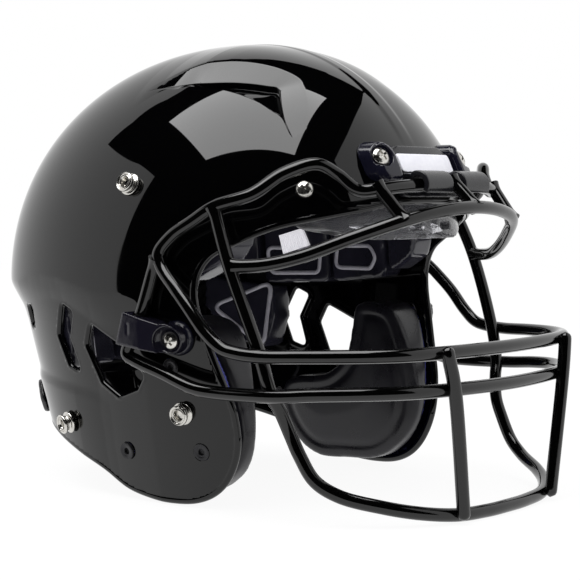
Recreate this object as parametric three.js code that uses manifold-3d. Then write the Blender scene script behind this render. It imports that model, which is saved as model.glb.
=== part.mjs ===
// American football helmet: polycarbonate shell, wire facemask, clips, fasteners and inner pads.
// Millimetres, +Z up, the wearer faces -Y and the wearer's right side is -X.
// The origin is on the surface the helmet rests on, under the middle of the whole object.

import * as THREE from 'three';
import { mergeVertices } from 'three/addons/utils/BufferGeometryUtils.js';
import Module from 'manifold-3d';

const wasm = await Module();
wasm.setup();

// ---------------------------------------------------------------- driving dimensions

const HALF_WIDTH = 116.8;        // of the shell, at its widest level
const FRONT_REACH = 132.1;       // from the shell's middle forward to its front
const REAR_REACH = 159.3;        // from the shell's middle back to its rear
const CROWN_HEIGHT = 142.7;      // from the widest level up to the crown
const WIDE_LEVEL = 116;          // height of the widest level
const MIDDLE_Y = 11.2;
const PLAN_POWER = 2.32;         // roundness of the horizontal sections
const DOME_POWER = 2.09;         // roundness of the dome
const FLAP_TAPER = 0.165;        // how much the sides draw in towards the flap bottoms
const LEDGE_DROP = 12;           // how far the rear steps in below the ledge
const LEDGE_TOP = 118;
const LEDGE_BOTTOM = 98;
const REAR_SLOPE = 0.3;          // how fast the rear draws in below the ledge
const WALL = 4;                  // shell thickness
const GAP = 0.35;                // running gap between pieces that touch

const WIRE = 3.6;                // radius of the coated facemask wire
const STEP_LENGTH = 18;          // of the straight stretches that make up a bent wire
const PIVOT_Y = -125.2;          // line about which the mask turns in the bumper's hooks
const PIVOT_Z = 175.6;
const HOOK_BORE = 5.2;           // room for the slightly bent top bar to turn
const HOOK_THICKNESS = 2.6;
const HOOK_INNER_X = 6;
const HOOK_OUTER_X = 31;
const CLIP_INNER_X = 29;
const CLIP_OUTER_X = 46;
const CLIP_HEIGHT = 10.5;        // of a forehead clip over the shell

const SIDES = [
  { name: 'right', sign: -1 },
  { name: 'left', sign: 1 },
];

// ---------------------------------------------------------------- materials

function paint(color, roughness, metalness = 0) {
  return new THREE.MeshStandardMaterial({ color, roughness, metalness });
}

const MATERIALS = {
  shell: paint(0x050506, 0.08),
  wire: paint(0x070707, 0.18),
  clip: paint(0x1b1c26, 0.2),
  smoke: paint(0x2c2c34, 0.15),
  bumper: paint(0x0b0b10, 0.25),
  plate: paint(0xe8e8ee, 0.4),
  chrome: paint(0xc8c8c4, 0.15, 1),
  darkSteel: paint(0x141416, 0.35, 0.4),
  pad: paint(0x3b3a44, 0.3),
  frontPad: paint(0xa9a9ad, 0.3),
  jawPad: paint(0x34333c, 0.5),
  backing: paint(0x4a5bc0, 0.35),
  label: paint(0xf0f0f0, 0.7),
};

const group = new THREE.Group();

function addMesh(name, geometry, material) {
  const mesh = new THREE.Mesh(geometry, material);
  mesh.name = name;
  group.add(mesh);
  return mesh;
}

// ---------------------------------------------------------------- solids and booleans

function solidOf(geometry) {
  const bare = geometry.clone();
  bare.deleteAttribute('normal');
  bare.deleteAttribute('uv');
  const merged = mergeVertices(bare, 1e-4);
  return new wasm.Manifold(new wasm.Mesh({
    numProp: 3,
    vertProperties: new Float32Array(merged.attributes.position.array),
    triVerts: new Uint32Array(merged.index.array),
  }));
}

function geometryOf(solid) {
  const mesh = solid.getMesh();
  const geometry = new THREE.BufferGeometry();
  geometry.setAttribute('position', new THREE.BufferAttribute(new Float32Array(mesh.vertProperties), 3));
  geometry.setIndex(new THREE.BufferAttribute(new Uint32Array(mesh.triVerts), 1));
  return geometry;
}

function joined(solids) {
  return solids.reduce((sum, solid) => sum.add(solid));
}

// ---------------------------------------------------------------- the shell's form

function halfWidthAt(z, offset) {
  const below = Math.max(0, (WIDE_LEVEL - z) / WIDE_LEVEL);
  return HALF_WIDTH * (1 - FLAP_TAPER * below ** 1.3) + offset;
}

function rearReachAt(z, offset) {
  const step = THREE.MathUtils.smoothstep(LEDGE_TOP - z, 0, LEDGE_TOP - LEDGE_BOTTOM);
  const lean = REAR_SLOPE * Math.max(0, LEDGE_BOTTOM - z);
  return REAR_REACH - LEDGE_DROP * step - lean + offset;
}

function signedPower(value, power) {
  return Math.sign(value) * Math.abs(value) ** power;
}

// A point of the horizontal section at height z, shrunk to the dome's size there.
function sectionPoint(angle, z, shrink, offset) {
  const across = signedPower(Math.cos(angle), 2 / PLAN_POWER);
  const along = signedPower(Math.sin(angle), 2 / PLAN_POWER);
  const reach = along < 0 ? FRONT_REACH + offset : rearReachAt(z, offset);
  return [halfWidthAt(z, offset) * shrink * across, MIDDLE_Y + reach * shrink * along, z];
}

function domeRings(offset, floor, lowerRings, upperRings, segments) {
  const rings = [];
  for (let i = 0; i < lowerRings; i += 1) {
    rings.push([floor + ((WIDE_LEVEL - floor) * i) / lowerRings, 1]);
  }
  for (let i = 0; i < upperRings; i += 1) {
    const rise = (Math.PI / 2) * (i / upperRings);
    const height = WIDE_LEVEL + (CROWN_HEIGHT + offset) * Math.sin(rise) ** (2 / DOME_POWER);
    rings.push([height, Math.cos(rise) ** (2 / DOME_POWER)]);
  }
  return rings.map(([z, shrink]) => {
    const ring = [];
    for (let i = 0; i < segments; i += 1) {
      ring.push(sectionPoint((2 * Math.PI * i) / segments, z, shrink, offset));
    }
    return ring;
  });
}

// The closed head form, grown (offset > 0) or shrunk (offset < 0) from the shell's outer face.
function headForm(offset, floor = -20, lowerRings = 7, upperRings = 8, segments = 32) {
  const rings = domeRings(offset, floor, lowerRings, upperRings, segments);
  const points = rings.flat();
  const bottom = points.length;
  points.push([0, MIDDLE_Y, floor]);
  points.push([0, MIDDLE_Y, WIDE_LEVEL + CROWN_HEIGHT + offset]);
  const index = [];
  for (let i = 0; i < segments; i += 1) {
    const next = (i + 1) % segments;
    index.push(bottom, next, i);
    for (let r = 0; r + 1 < rings.length; r += 1) {
      const low = r * segments;
      const high = low + segments;
      index.push(low + i, low + next, high + next, low + i, high + next, high + i);
    }
    const last = (rings.length - 1) * segments;
    index.push(last + i, last + next, bottom + 1);
  }
  const geometry = new THREE.BufferGeometry();
  geometry.setAttribute('position', new THREE.Float32BufferAttribute(points.flat(), 3));
  geometry.setIndex(index);
  return solidOf(geometry);
}

function insideValue(x, y, z) {
  const reach = y < MIDDLE_Y ? FRONT_REACH : rearReachAt(z, 0);
  const plan = Math.abs(x / halfWidthAt(z, 0)) ** PLAN_POWER + Math.abs((y - MIDDLE_Y) / reach) ** PLAN_POWER;
  const rise = (Math.max(0, z - WIDE_LEVEL) / CROWN_HEIGHT) ** DOME_POWER;
  return plan ** (DOME_POWER / PLAN_POWER) + rise;
}

// The outer face's point with the given x (or y) and z, and the outward normal there.
function onShell({ x, y, z, sign = -1 }) {
  const place = (t) => (x === undefined ? [t * sign, y, z] : [x, -t, z]);
  let low = 0;
  let high = 250;
  for (let i = 0; i < 40; i += 1) {
    const mid = (low + high) / 2;
    if (insideValue(...place(mid)) < 1) {
      low = mid;
    } else {
      high = mid;
    }
  }
  const point = place(low);
  const step = 0.05;
  const slope = [0, 1, 2].map((axis) => {
    const ahead = [...point];
    const behind = [...point];
    ahead[axis] += step;
    behind[axis] -= step;
    return insideValue(...ahead) - insideValue(...behind);
  });
  return { point: new THREE.Vector3(...point), normal: new THREE.Vector3(...slope).normalize() };
}

// ---------------------------------------------------------------- shapes

// A prism along X from an outline of [y, z] points.
function prismX(outline, fromX, toX) {
  const shape = new THREE.Shape(outline.map(([y, z]) => new THREE.Vector2(y, z)));
  return prismOf(shape, fromX, toX);
}

function prismOf(shape, fromX, toX, curveSegments = 10) {
  const geometry = new THREE.ExtrudeGeometry(shape, {
    depth: toX - fromX,
    bevelEnabled: false,
    curveSegments,
  });
  const turn = new THREE.Matrix4().makeBasis(
    new THREE.Vector3(0, 1, 0),
    new THREE.Vector3(0, 0, 1),
    new THREE.Vector3(1, 0, 0),
  );
  geometry.applyMatrix4(turn);
  geometry.translate(fromX, 0, 0);
  return solidOf(geometry);
}

// A prism along Y from an outline of [x, z] points.
function prismY(outline, fromY, toY) {
  const shape = new THREE.Shape(outline.map(([x, z]) => new THREE.Vector2(x, z)));
  const geometry = new THREE.ExtrudeGeometry(shape, { depth: toY - fromY, bevelEnabled: false });
  geometry.rotateX(Math.PI / 2);
  geometry.translate(0, toY, 0);
  return solidOf(geometry);
}

function mirrored(points) {
  return points.map(([x, ...rest]) => [-x, ...rest]);
}

// A turned piece along +Z from a profile of [radius, height] points.
function turned(profile, sides = 10) {
  return new THREE.LatheGeometry(profile.map(([r, h]) => new THREE.Vector2(r, h)), sides)
    .rotateX(Math.PI / 2);
}

// Stands a geometry made along +Z on a seat, lifted along the seat's normal.
function stood(geometry, seat, lift) {
  const turn = new THREE.Quaternion().setFromUnitVectors(new THREE.Vector3(0, 0, 1), seat.normal);
  const place = seat.point.clone().addScaledVector(seat.normal, lift);
  return geometry.clone().applyQuaternion(turn).translate(place.x, place.y, place.z);
}

function drill(seat, radius) {
  const depth = 30;
  return solidOf(stood(turned([[0, -depth], [radius, -depth], [radius, depth], [0, depth]], 12), seat, 0));
}

// ---------------------------------------------------------------- where things sit on the shell

function sideSeat(sign, y, z) {
  return onShell({ y, z, sign });
}

const CHIN_SNAPS = { upper: [11.5, 175.9], front: [-25.2, 52.9], rear: [69.2, 39.7] };
const JAW_SCREWS = { front: [-33.4, 31.9], rear: [19.2, 28] };
const EAR_SCREW = [-20.4, 77.8];
const SIDE_CLIP_SCREW = [-27.5, 94.3];
const BROW_SCREW = [-84.5, 172.8];
const CLIP_SCREW_X = 36.5;
const CLIP_SCREW_Z = 187;

// ---------------------------------------------------------------- shell

// Brow, temple, jaw flap, neck: the side view of the shell's lower edge.
const SHELL_EDGE = [
  [-140, 167], [-112, 165.3], [-104.5, 161.2], [-90, 156.5], [-75, 151.8], [-58, 143.7],
  [-46.5, 137], [-41.3, 130], [-38.8, 121], [-39.2, 112], [-43.4, 96], [-50.8, 70.6],
  [-54.3, 59], [-55.8, 46], [-55, 35], [-51, 24], [-44, 13], [-34, 5], [-26, 0], [12, 0],
  [26, 3.5], [47, 14.5], [83, 27], [110, 33], [200, 36], [200, 300], [-140, 300],
];
const EAR_OPENING = [
  [39.4, 98.1], [14, 87], [-0.6, 72.2], [5.5, 64], [19.5, 59], [33.8, 66.3], [44.2, 86.5],
];
const CHEVRON_VENT = [
  [64.3, 108.6], [54.6, 104.2], [60.3, 89.5], [52.5, 69.7], [63.1, 73.3], [71.4, 90.6],
];
const REAR_VENT = [[102.5, 105], [112, 105], [112, 92], [105, 92]];
const SNAP_HOLE = 3.1;           // radii of the holes in the shell
const FLUSH_HOLE = 5.2;
const SIDE_CLIP_HOLE = 5;
const SCREW_HOLE = 2.9;

function shellSolid() {
  const wall = headForm(0).subtract(headForm(-WALL, -30));
  const cuts = [EAR_OPENING, CHEVRON_VENT, REAR_VENT].map((outline) => prismX(outline, -150, 150));
  for (const { sign } of SIDES) {
    for (const place of Object.values(CHIN_SNAPS)) {
      cuts.push(drill(sideSeat(sign, ...place), SNAP_HOLE));
    }
    for (const place of Object.values(JAW_SCREWS)) {
      cuts.push(drill(sideSeat(sign, ...place), FLUSH_HOLE));
    }
    cuts.push(drill(sideSeat(sign, ...EAR_SCREW), FLUSH_HOLE));
    cuts.push(drill(sideSeat(sign, ...SIDE_CLIP_SCREW), SIDE_CLIP_HOLE));
    cuts.push(drill(sideSeat(sign, ...BROW_SCREW), SCREW_HOLE));
    cuts.push(drill(onShell({ x: sign * CLIP_SCREW_X, z: CLIP_SCREW_Z }), SCREW_HOLE));
  }
  return wall.intersect(prismX(SHELL_EDGE, -150, 150)).subtract(joined(cuts));
}

addMesh('shell', geometryOf(shellSolid()), MATERIALS.shell);

// ---------------------------------------------------------------- pieces that follow the shell's face

// A layer over (or under) the shell between two offsets, inside a prism.
function layer(inner, outer, prism) {
  return headForm(outer).subtract(headForm(inner, -30)).intersect(prism);
}

const BUMPER_OUTLINE = [
  [-27, 169], [27, 169], [27.5, 176], [27.5, 193], [20, 197], [-20, 197], [-27.5, 193], [-27.5, 176],
];
const PLATE_OUTLINE = [[-25, 182.7], [25, 182.7], [25, 192.6], [-25, 192.6]];
const BUMPER_THICKNESS = 5;

const bumper = layer(GAP, BUMPER_THICKNESS, prismY(BUMPER_OUTLINE, -160, -60));
addMesh('front_bumper', geometryOf(bumper), MATERIALS.bumper);

const plate = layer(BUMPER_THICKNESS + GAP, BUMPER_THICKNESS + 1.6, prismY(PLATE_OUTLINE, -160, -60));
addMesh('nameplate', geometryOf(plate), MATERIALS.plate);

const REAR_BUMPER_OUTLINE = [[-66, 38], [66, 38], [69, 47], [64, 57], [-64, 57], [-69, 47]];
const REAR_BUMPER_THICKNESS = 3.4;
const rearBumper = layer(GAP, REAR_BUMPER_THICKNESS, prismY(REAR_BUMPER_OUTLINE, 60, 200));
addMesh('rear_bumper', geometryOf(rearBumper), MATERIALS.bumper);

// ---------------------------------------------------------------- facemask

function wire(points) {
  const curve = new THREE.CatmullRomCurve3(points.map((p) => new THREE.Vector3(...p)), false, 'centripetal');
  const steps = Math.max(2, Math.round(curve.getLength() / STEP_LENGTH));
  const section = new THREE.Shape();
  section.absarc(0, 0, WIRE, 0, 2 * Math.PI);
  return solidOf(new THREE.ExtrudeGeometry(section, { steps, extrudePath: curve, curveSegments: 4 }));
}

// Half wires run from the middle plane out to the wearer's right.
const UPPER_HALF = [
  [0, -126.3, 176.2], [-28, -124.6, 175.3], [-46, -121.5, 174.2], [-57, -117.6, 173],
  [-64.7, -111.5, 172.6], [-71.7, -103.4, 180.5], [-81, -97, 185.9], [-96, -86.5, 181],
  [-108, -75.8, 170.6], [-114, -54.3, 163.8], [-116.5, -42, 156.5], [-118.5, -28.7, 148.2],
  [-120.5, -21.5, 139], [-121.5, -24, 132.5], [-123.5, -36, 121], [-124.3, -47, 110.2],
  [-123.5, -57.5, 98.5], [-122, -66.5, 91.5], [-120.7, -76, 89.2], [-118.5, -89.4, 88.3],
  [-112.5, -110.3, 88.8], [-101, -132.8, 89.3], [-83, -150.2, 89.5], [-58, -159.3, 89.6], [0, -164.6, 89.6],
];
const LOWER_LOOP_HALF = [
  [-120.8, -20.5, 136.5], [-120.3, -17, 129], [-120.3, -8.5, 106.9], [-120.3, 0, 90.5], [-120.3, 2, 84.5],
  [-120, -5, 81], [-118.5, -22, 75.5], [-117.4, -41.9, 69], [-116.6, -54, 67.5], [-115.5, -94.4, 68],
  [-110, -115, 69.6], [-101, -133.3, 70.4], [-81.8, -150.6, 70.5], [-56, -160.7, 70.5], [0, -166.4, 70.2],
];
const UPRIGHT_AND_CHIN_HALF = [
  [-114, -54.5, 163.5], [-117, -67.6, 133.5], [-112.8, -84.8, 87], [-109.8, -89.5, 67.6],
  [-105.5, -91.5, 60], [-101, -95, 47], [-99.5, -100, 36], [-97, -107.8, 23.5], [-91, -119, 16],
  [-78, -137, 10.5], [-64, -149.5, 7], [-44.4, -159.4, 4.4], [-20, -163.2, 3.6], [0, -164, 3.6],
];
const BROW_HALF = [
  [0, -143.2, 163.6], [-30, -140.3, 161.6], [-53.7, -133.2, 157], [-77.5, -115.9, 147.7],
  [-96.2, -97.9, 138.5], [-108.5, -84, 134.4], [-116.5, -69, 133.4],
];
const UPRIGHT = [[-60.6, -164.4, 93.5], [-59.8, -164.8, 88], [-55.7, -166, 71.1], [-44.4, -164.8, 2]];
const STRUT = [[-57, -117.5, 175.5], [-53.7, -133.6, 156.6]];
const MIDDLE_STRUT = [[0, -127, 178.6], [0, -143.8, 162.9]];

function across(half) {
  const fromCentre = half[0][0] === 0;
  const right = fromCentre ? [...half].reverse() : half;
  return [...right.slice(0, -1), ...mirrored([...right].reverse())];
}

// The upper bar closes on itself: a long wire over the brow and a short one that closes it in front.
function upperRing() {
  const leftSide = mirrored(UPPER_HALF.slice(1, -1).reverse());
  const closing = [...mirrored(UPPER_HALF.slice(-4, -1)), UPPER_HALF.at(-1)];
  return [wire([...leftSide, ...UPPER_HALF]), wire(closing)];
}

function facemaskSolid() {
  const wires = [
    ...upperRing(),
    wire(across(LOWER_LOOP_HALF)),
    wire(across(UPRIGHT_AND_CHIN_HALF)),
    wire(across(BROW_HALF)),
    wire(UPRIGHT), wire(mirrored(UPRIGHT)),
    wire(STRUT), wire(mirrored(STRUT)),
    wire(MIDDLE_STRUT),
  ];
  return joined(wires);
}

const facemask = facemaskSolid();
addMesh('facemask', geometryOf(facemask), MATERIALS.wire);

// ---------------------------------------------------------------- forehead clips and bar hooks

const shellEnvelope = headForm(GAP);
const SCREW_SHANK = 2.4;
const CLIP_HEAD_LIFT = 7.5;       // of the forehead clip screw's head over the shell
const COUNTERBORE = 6.1;

function screwGeometry(headRadius, headHeight, shankLength) {
  return turned([
    [0, -shankLength], [SCREW_SHANK, -shankLength], [SCREW_SHANK, 0], [headRadius, 0],
    [headRadius, headHeight * 0.45], [headRadius * 0.72, headHeight * 0.9], [0, headHeight],
  ]);
}

// Front view of a forehead clip: a block with a rounded top.
function foreheadClipOutline(sign) {
  const outline = [
    [CLIP_INNER_X, 177.5], [CLIP_OUTER_X, 177.5], [CLIP_OUTER_X, 193], [CLIP_OUTER_X - 4, 198.5],
    [CLIP_INNER_X + 4, 198.5], [CLIP_INNER_X, 193],
  ].map(([x, z]) => [sign * x, z]);
  return sign < 0 ? outline.reverse() : outline;
}

for (const { name, sign } of SIDES) {
  const seat = onShell({ x: sign * CLIP_SCREW_X, z: CLIP_SCREW_Z });
  const well = turned([[0, 0], [COUNTERBORE, 0], [COUNTERBORE, 30], [0, 30]]);
  const clip = layer(GAP, CLIP_HEIGHT, prismY(foreheadClipOutline(sign), -160, -60))
    .subtract(solidOf(stood(well, seat, CLIP_HEAD_LIFT - GAP)))
    .subtract(drill(seat, SCREW_HOLE));
  addMesh(`front_clip_${name}`, geometryOf(clip), MATERIALS.clip);
  const screw = screwGeometry(5.3, 3, CLIP_HEAD_LIFT + WALL + 3);
  addMesh(`front_clip_screw_${name}`, stood(screw, seat, CLIP_HEAD_LIFT), MATERIALS.chrome);
}

// Side view of a tongue of the bumper that reaches over the top bar and under it.
function hookShape() {
  const tip = 3.7;
  const root = 0.9;
  const shape = new THREE.Shape();
  shape.absarc(PIVOT_Y, PIVOT_Z, HOOK_BORE + HOOK_THICKNESS, root, tip, false);
  shape.absarc(PIVOT_Y, PIVOT_Z, HOOK_BORE, tip, root + 0.25, true);
  shape.lineTo(-100, 176.8);
  shape.lineTo(-100, 183);
  shape.closePath();
  return shape;
}

const bumperEnvelope = headForm(BUMPER_THICKNESS + GAP);
const clipEnvelope = headForm(CLIP_HEIGHT + GAP);
const plateCut = prismY(PLATE_OUTLINE.map(([x, z]) => [x * 1.02, z - GAP * Math.sign(187.5 - z)]), -160, -60);
const plateBand = headForm(BUMPER_THICKNESS + 1.6 + GAP).intersect(plateCut);
for (const { name, sign } of SIDES) {
  const low = sign < 0 ? -HOOK_OUTER_X : HOOK_INNER_X;
  const besideClip = sign * (CLIP_INNER_X + 20 - GAP);
  const clipRoom = clipEnvelope.intersect(
    solidOf(new THREE.BoxGeometry(40, 200, 200).translate(besideClip, -100, 200)),
  );
  const hook = prismOf(hookShape(), low, low + HOOK_OUTER_X - HOOK_INNER_X)
    .subtract(bumperEnvelope)
    .subtract(plateBand)
    .subtract(clipRoom);
  addMesh(`bar_hook_${name}`, geometryOf(hook), MATERIALS.bumper);
}

// ---------------------------------------------------------------- side clips

const SIDE_BAR_X = 120.3;
const SIDE_BAR = [[-17, 129], [-8.5, 106.9], [0, 90.5], [4, 80]];
const SIDE_CLIP_REAR_X = 128.2;   // outer face where the clip holds the bar
const SIDE_CLIP_NOSE_X = 124.6;   // and at its nose
const SIDE_CLIP_INNER_X = 100;
const SIDE_HEAD_LIFT = 7.8;       // of the screw's head over the shell
const SPACER_HEIGHT = 4;
const SPACER_BASE = 10.5;
const SPACER_TOP = 8.5;
const SIDE_COUNTERBORE = 5.6;

// Side view of a side clip: from behind the bar forward to a round nose over the screw.
function sideClipOutline() {
  const shape = new THREE.Shape();
  shape.moveTo(-1.5, 107.9);
  shape.lineTo(-24, 102.3);
  shape.absarc(-28, 94.1, 8.3, 1.25, 4.5, false);
  shape.lineTo(3.5, 90.2);
  shape.closePath();
  return shape;
}

// Plan view of the room that the clip may fill: its outer face draws in towards the nose.
function sideClipPlan(sign) {
  const outline = [
    [SIDE_CLIP_INNER_X, -45], [SIDE_CLIP_NOSE_X, -45], [SIDE_CLIP_NOSE_X, -32],
    [SIDE_CLIP_REAR_X, -14], [SIDE_CLIP_REAR_X, 10], [SIDE_CLIP_INNER_X, 10],
  ].map(([x, y]) => new THREE.Vector2(sign * x, y));
  const geometry = new THREE.ExtrudeGeometry(new THREE.Shape(outline), { depth: 40, bevelEnabled: false });
  return solidOf(geometry.translate(0, 0, 78));
}

// Room round the bar, so that the clip can be pushed over it.
function barRoom(sign) {
  const points = SIDE_BAR.map(([y, z]) => new THREE.Vector3(sign * SIDE_BAR_X, y, z));
  const section = new THREE.Shape();
  section.absarc(0, 0, WIRE + 1.1, 0, 2 * Math.PI);
  const extrudePath = new THREE.CatmullRomCurve3(points);
  return solidOf(new THREE.ExtrudeGeometry(section, { steps: 8, extrudePath, curveSegments: 6 }));
}

for (const { name, sign } of SIDES) {
  const seat = sideSeat(sign, ...SIDE_CLIP_SCREW);
  const spacerProfile = [
    [SCREW_HOLE, GAP], [SPACER_BASE, GAP], [SPACER_TOP, SPACER_HEIGHT], [SCREW_HOLE, SPACER_HEIGHT],
    [SCREW_HOLE, GAP],
  ];
  const spacer = solidOf(stood(turned(spacerProfile, 18), seat, 0)).subtract(shellEnvelope);
  addMesh(`side_spacer_${name}`, geometryOf(spacer), MATERIALS.clip);

  const fromX = sign < 0 ? -SIDE_CLIP_REAR_X : SIDE_CLIP_INNER_X;
  const toX = sign < 0 ? -SIDE_CLIP_INNER_X : SIDE_CLIP_REAR_X;
  const well = turned([[0, 0], [SIDE_COUNTERBORE, 0], [SIDE_COUNTERBORE, 30], [0, 30]]);
  const overSpacer = SPACER_HEIGHT + GAP;
  const spacerRoom = [
    [0, -9], [SPACER_BASE + 0.8, -9], [SPACER_BASE + 0.8, GAP], [SPACER_TOP + 0.8, overSpacer],
    [0, overSpacer],
  ];
  const lowerBarRoom = solidOf(new THREE.BoxGeometry(40, 40, 20).translate(sign * SIDE_BAR_X, 10, 76));
  const clip = prismOf(sideClipOutline(), fromX, toX)
    .intersect(sideClipPlan(sign))
    .subtract(headForm(1.2))
    .subtract(barRoom(sign))
    .subtract(solidOf(stood(well, seat, SIDE_HEAD_LIFT - GAP)))
    .subtract(drill(seat, SCREW_HOLE))
    .subtract(solidOf(stood(turned(spacerRoom, 18), seat, 0)))
    .subtract(lowerBarRoom);
  addMesh(`side_clip_${name}`, geometryOf(clip), MATERIALS.smoke);
  const screw = screwGeometry(4.8, 2.8, SIDE_HEAD_LIFT - GAP);
  addMesh(`side_clip_screw_${name}`, stood(screw, seat, SIDE_HEAD_LIFT), MATERIALS.chrome);
  const nut = turned([[0, -6.9], [8, -6.9], [8, -5.3], [4.4, -5.3], [4.4, -1], [0, -1]]);
  addMesh(`side_nut_${name}`, stood(nut, seat, 0), MATERIALS.chrome);
}

// ---------------------------------------------------------------- snaps and screws

const SNAP_HEIGHT = 5.8;
const SNAP_PROFILE = [
  [0, -WALL - 2], [2.6, -WALL - 2], [2.6, GAP], [6.3, GAP], [6.3, 1.4], [4.3, 1.8], [4.3, 3.2],
  [5.5, 4], [5.5, SNAP_HEIGHT], [0, SNAP_HEIGHT],
];
const FLUSH_PROFILE = [[0, -WALL + 0.5], [2.4, -WALL + 0.5], [4.8, -1.2], [4.8, 0.3], [0, 0.3]];

for (const { name, sign } of SIDES) {
  for (const [place, [y, z]] of Object.entries(CHIN_SNAPS)) {
    const snap = stood(turned(SNAP_PROFILE), sideSeat(sign, y, z), 0);
    addMesh(`chin_snap_${place}_${name}`, snap, MATERIALS.chrome);
  }
  for (const [place, [y, z]] of Object.entries(JAW_SCREWS)) {
    const screw = stood(turned(FLUSH_PROFILE), sideSeat(sign, y, z), 0);
    addMesh(`jaw_screw_${place}_${name}`, screw, MATERIALS.darkSteel);
  }
  const earScrew = stood(turned(FLUSH_PROFILE), sideSeat(sign, ...EAR_SCREW), 0);
  addMesh(`ear_screw_${name}`, earScrew, MATERIALS.darkSteel);
  const browScrew = stood(screwGeometry(4.7, 3.2, WALL + 2), sideSeat(sign, ...BROW_SCREW), GAP);
  addMesh(`brow_screw_${name}`, browScrew, MATERIALS.chrome);
}

// ---------------------------------------------------------------- nuts inside the forehead

function ringNut(seat) {
  const profile = [[2.75, -7.6], [6, -7.6], [6, -5.7], [2.75, -5.7], [2.75, -7.6]];
  return stood(turned(profile), seat, 0);
}

for (const { name, sign } of SIDES) {
  const clipNut = ringNut(onShell({ x: sign * CLIP_SCREW_X, z: CLIP_SCREW_Z }));
  addMesh(`front_clip_nut_${name}`, clipNut, MATERIALS.darkSteel);
  addMesh(`brow_nut_${name}`, ringNut(sideSeat(sign, ...BROW_SCREW)), MATERIALS.darkSteel);
}

// ---------------------------------------------------------------- inner pads

const LINER_OUT = -WALL - 3.2;    // pads start here, clear of the fasteners' inner ends
const LINER_IN = -26;

// Room in the liner for the inner end of a fastener.
function pocket(seat) {
  return solidOf(stood(turned([[0, -9], [8.4, -9], [8.4, 0], [0, 0]], 8), seat, 0));
}

const pockets = SIDES.flatMap(({ sign }) => [
  pocket(sideSeat(sign, ...CHIN_SNAPS.upper)),
  pocket(sideSeat(sign, ...BROW_SCREW)),
  pocket(onShell({ x: sign * CLIP_SCREW_X, z: CLIP_SCREW_Z })),
]);
const linerBand = headForm(LINER_OUT, -20, 5, 7, 28)
  .subtract(headForm(LINER_IN, -30, 5, 7, 28))
  .subtract(joined(pockets));

const FRONT_PAD = [[-66, 152], [-40, 146], [40, 146], [66, 152], [66, 200], [-66, 200]];
addMesh('front_pad', geometryOf(linerBand.intersect(prismY(FRONT_PAD, -160, -52))), MATERIALS.frontPad);

const crownBox = prismX([[-44, 205], [-44, 300], [76, 300], [76, 205]], -60, 60);
addMesh('crown_pad', geometryOf(linerBand.intersect(crownBox)), MATERIALS.pad);

const BACK_PAD = [[-52, 62], [52, 62], [60, 190], [-60, 190]];
addMesh('back_pad', geometryOf(linerBand.intersect(prismY(BACK_PAD, 84, 200))), MATERIALS.pad);

// Side liner above the ear, and the pad behind the ear.
const SIDE_PAD = [
  [-46, 131], [-30, 120], [58, 112], [73, 112], [72, 175], [50, 192], [-44, 192], [-52, 175], [-52, 142],
];
const REAR_SIDE_PAD = [[67, 68], [66.5, 109], [78, 109], [78, 174], [82, 178], [125, 160], [125, 68]];

for (const { name, sign } of SIDES) {
  const fromX = sign < 0 ? -150 : 68;
  const sidePad = linerBand.intersect(prismX(SIDE_PAD, fromX, fromX + 82));
  addMesh(`side_pad_${name}`, geometryOf(sidePad), MATERIALS.pad);
  const rearFrom = sign < 0 ? -150 : 56;
  const rearPad = linerBand
    .intersect(prismX(REAR_SIDE_PAD, rearFrom, rearFrom + 94))
    .subtract(prismY([[-62, 0], [62, 0], [62, 300], [-62, 300]], 84, 200));
  addMesh(`rear_side_pad_${name}`, geometryOf(rearPad), MATERIALS.pad);
}

const LABEL_OUTLINE = [[38, 138], [58, 132], [60, 144], [42, 149]];
const label = layer(LINER_IN - 1.6, LINER_IN - 0.7, prismX(LABEL_OUTLINE, 60, 120));
addMesh('size_label', geometryOf(label), MATERIALS.label);

// ---------------------------------------------------------------- jaw pads

const JAW_OUTLINE = [
  [-10, 102.5], [-27, 104], [-38, 99], [-47.5, 80], [-52.5, 60], [-54, 44], [-51.5, 31], [-43, 18], [-27, 7.5],
  [0, 4.5], [20, 4.5], [36, 13], [50, 36], [45, 52], [12, 59], [-2, 72], [-6, 88],
];
const JAW_MIDDLE = [-18, 44];
const BACKING_SCALE = 0.88;       // of the backing plate's outline to the cushion's
const JAW_INNER_X = 71;

for (const { name, sign } of SIDES) {
  const fromX = sign < 0 ? -120 : JAW_INNER_X;
  const toX = fromX + 120 - JAW_INNER_X;
  const smaller = JAW_OUTLINE.map(([y, z]) => [
    JAW_MIDDLE[0] + BACKING_SCALE * (y - JAW_MIDDLE[0]),
    JAW_MIDDLE[1] + BACKING_SCALE * (z - JAW_MIDDLE[1]),
  ]);
  const backing = headForm(-WALL - GAP - 3.4, -20, 5, 7, 28)
    .subtract(headForm(-WALL - GAP - 5.4, -30, 5, 7, 28))
    .intersect(prismX(smaller, fromX, toX));
  const cushion = headForm(-WALL - GAP - 5.8, -20, 5, 7, 28).intersect(prismX(JAW_OUTLINE, fromX, toX));
  addMesh(`jaw_pad_backing_${name}`, geometryOf(backing), MATERIALS.backing);
  addMesh(`jaw_pad_${name}`, geometryOf(cushion), MATERIALS.jawPad);
}

export default group;
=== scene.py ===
"""American football helmet: the looks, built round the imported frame.

Outlines, radii and places are in millimetres, in the frame's axes: +Z up, the wearer faces -Y
and the wearer's right side is -X. They become metres where a mesh is made.
"""

import math

import bmesh
import bpy
import numpy as np
from mathutils import Matrix, Vector, kdtree


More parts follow.
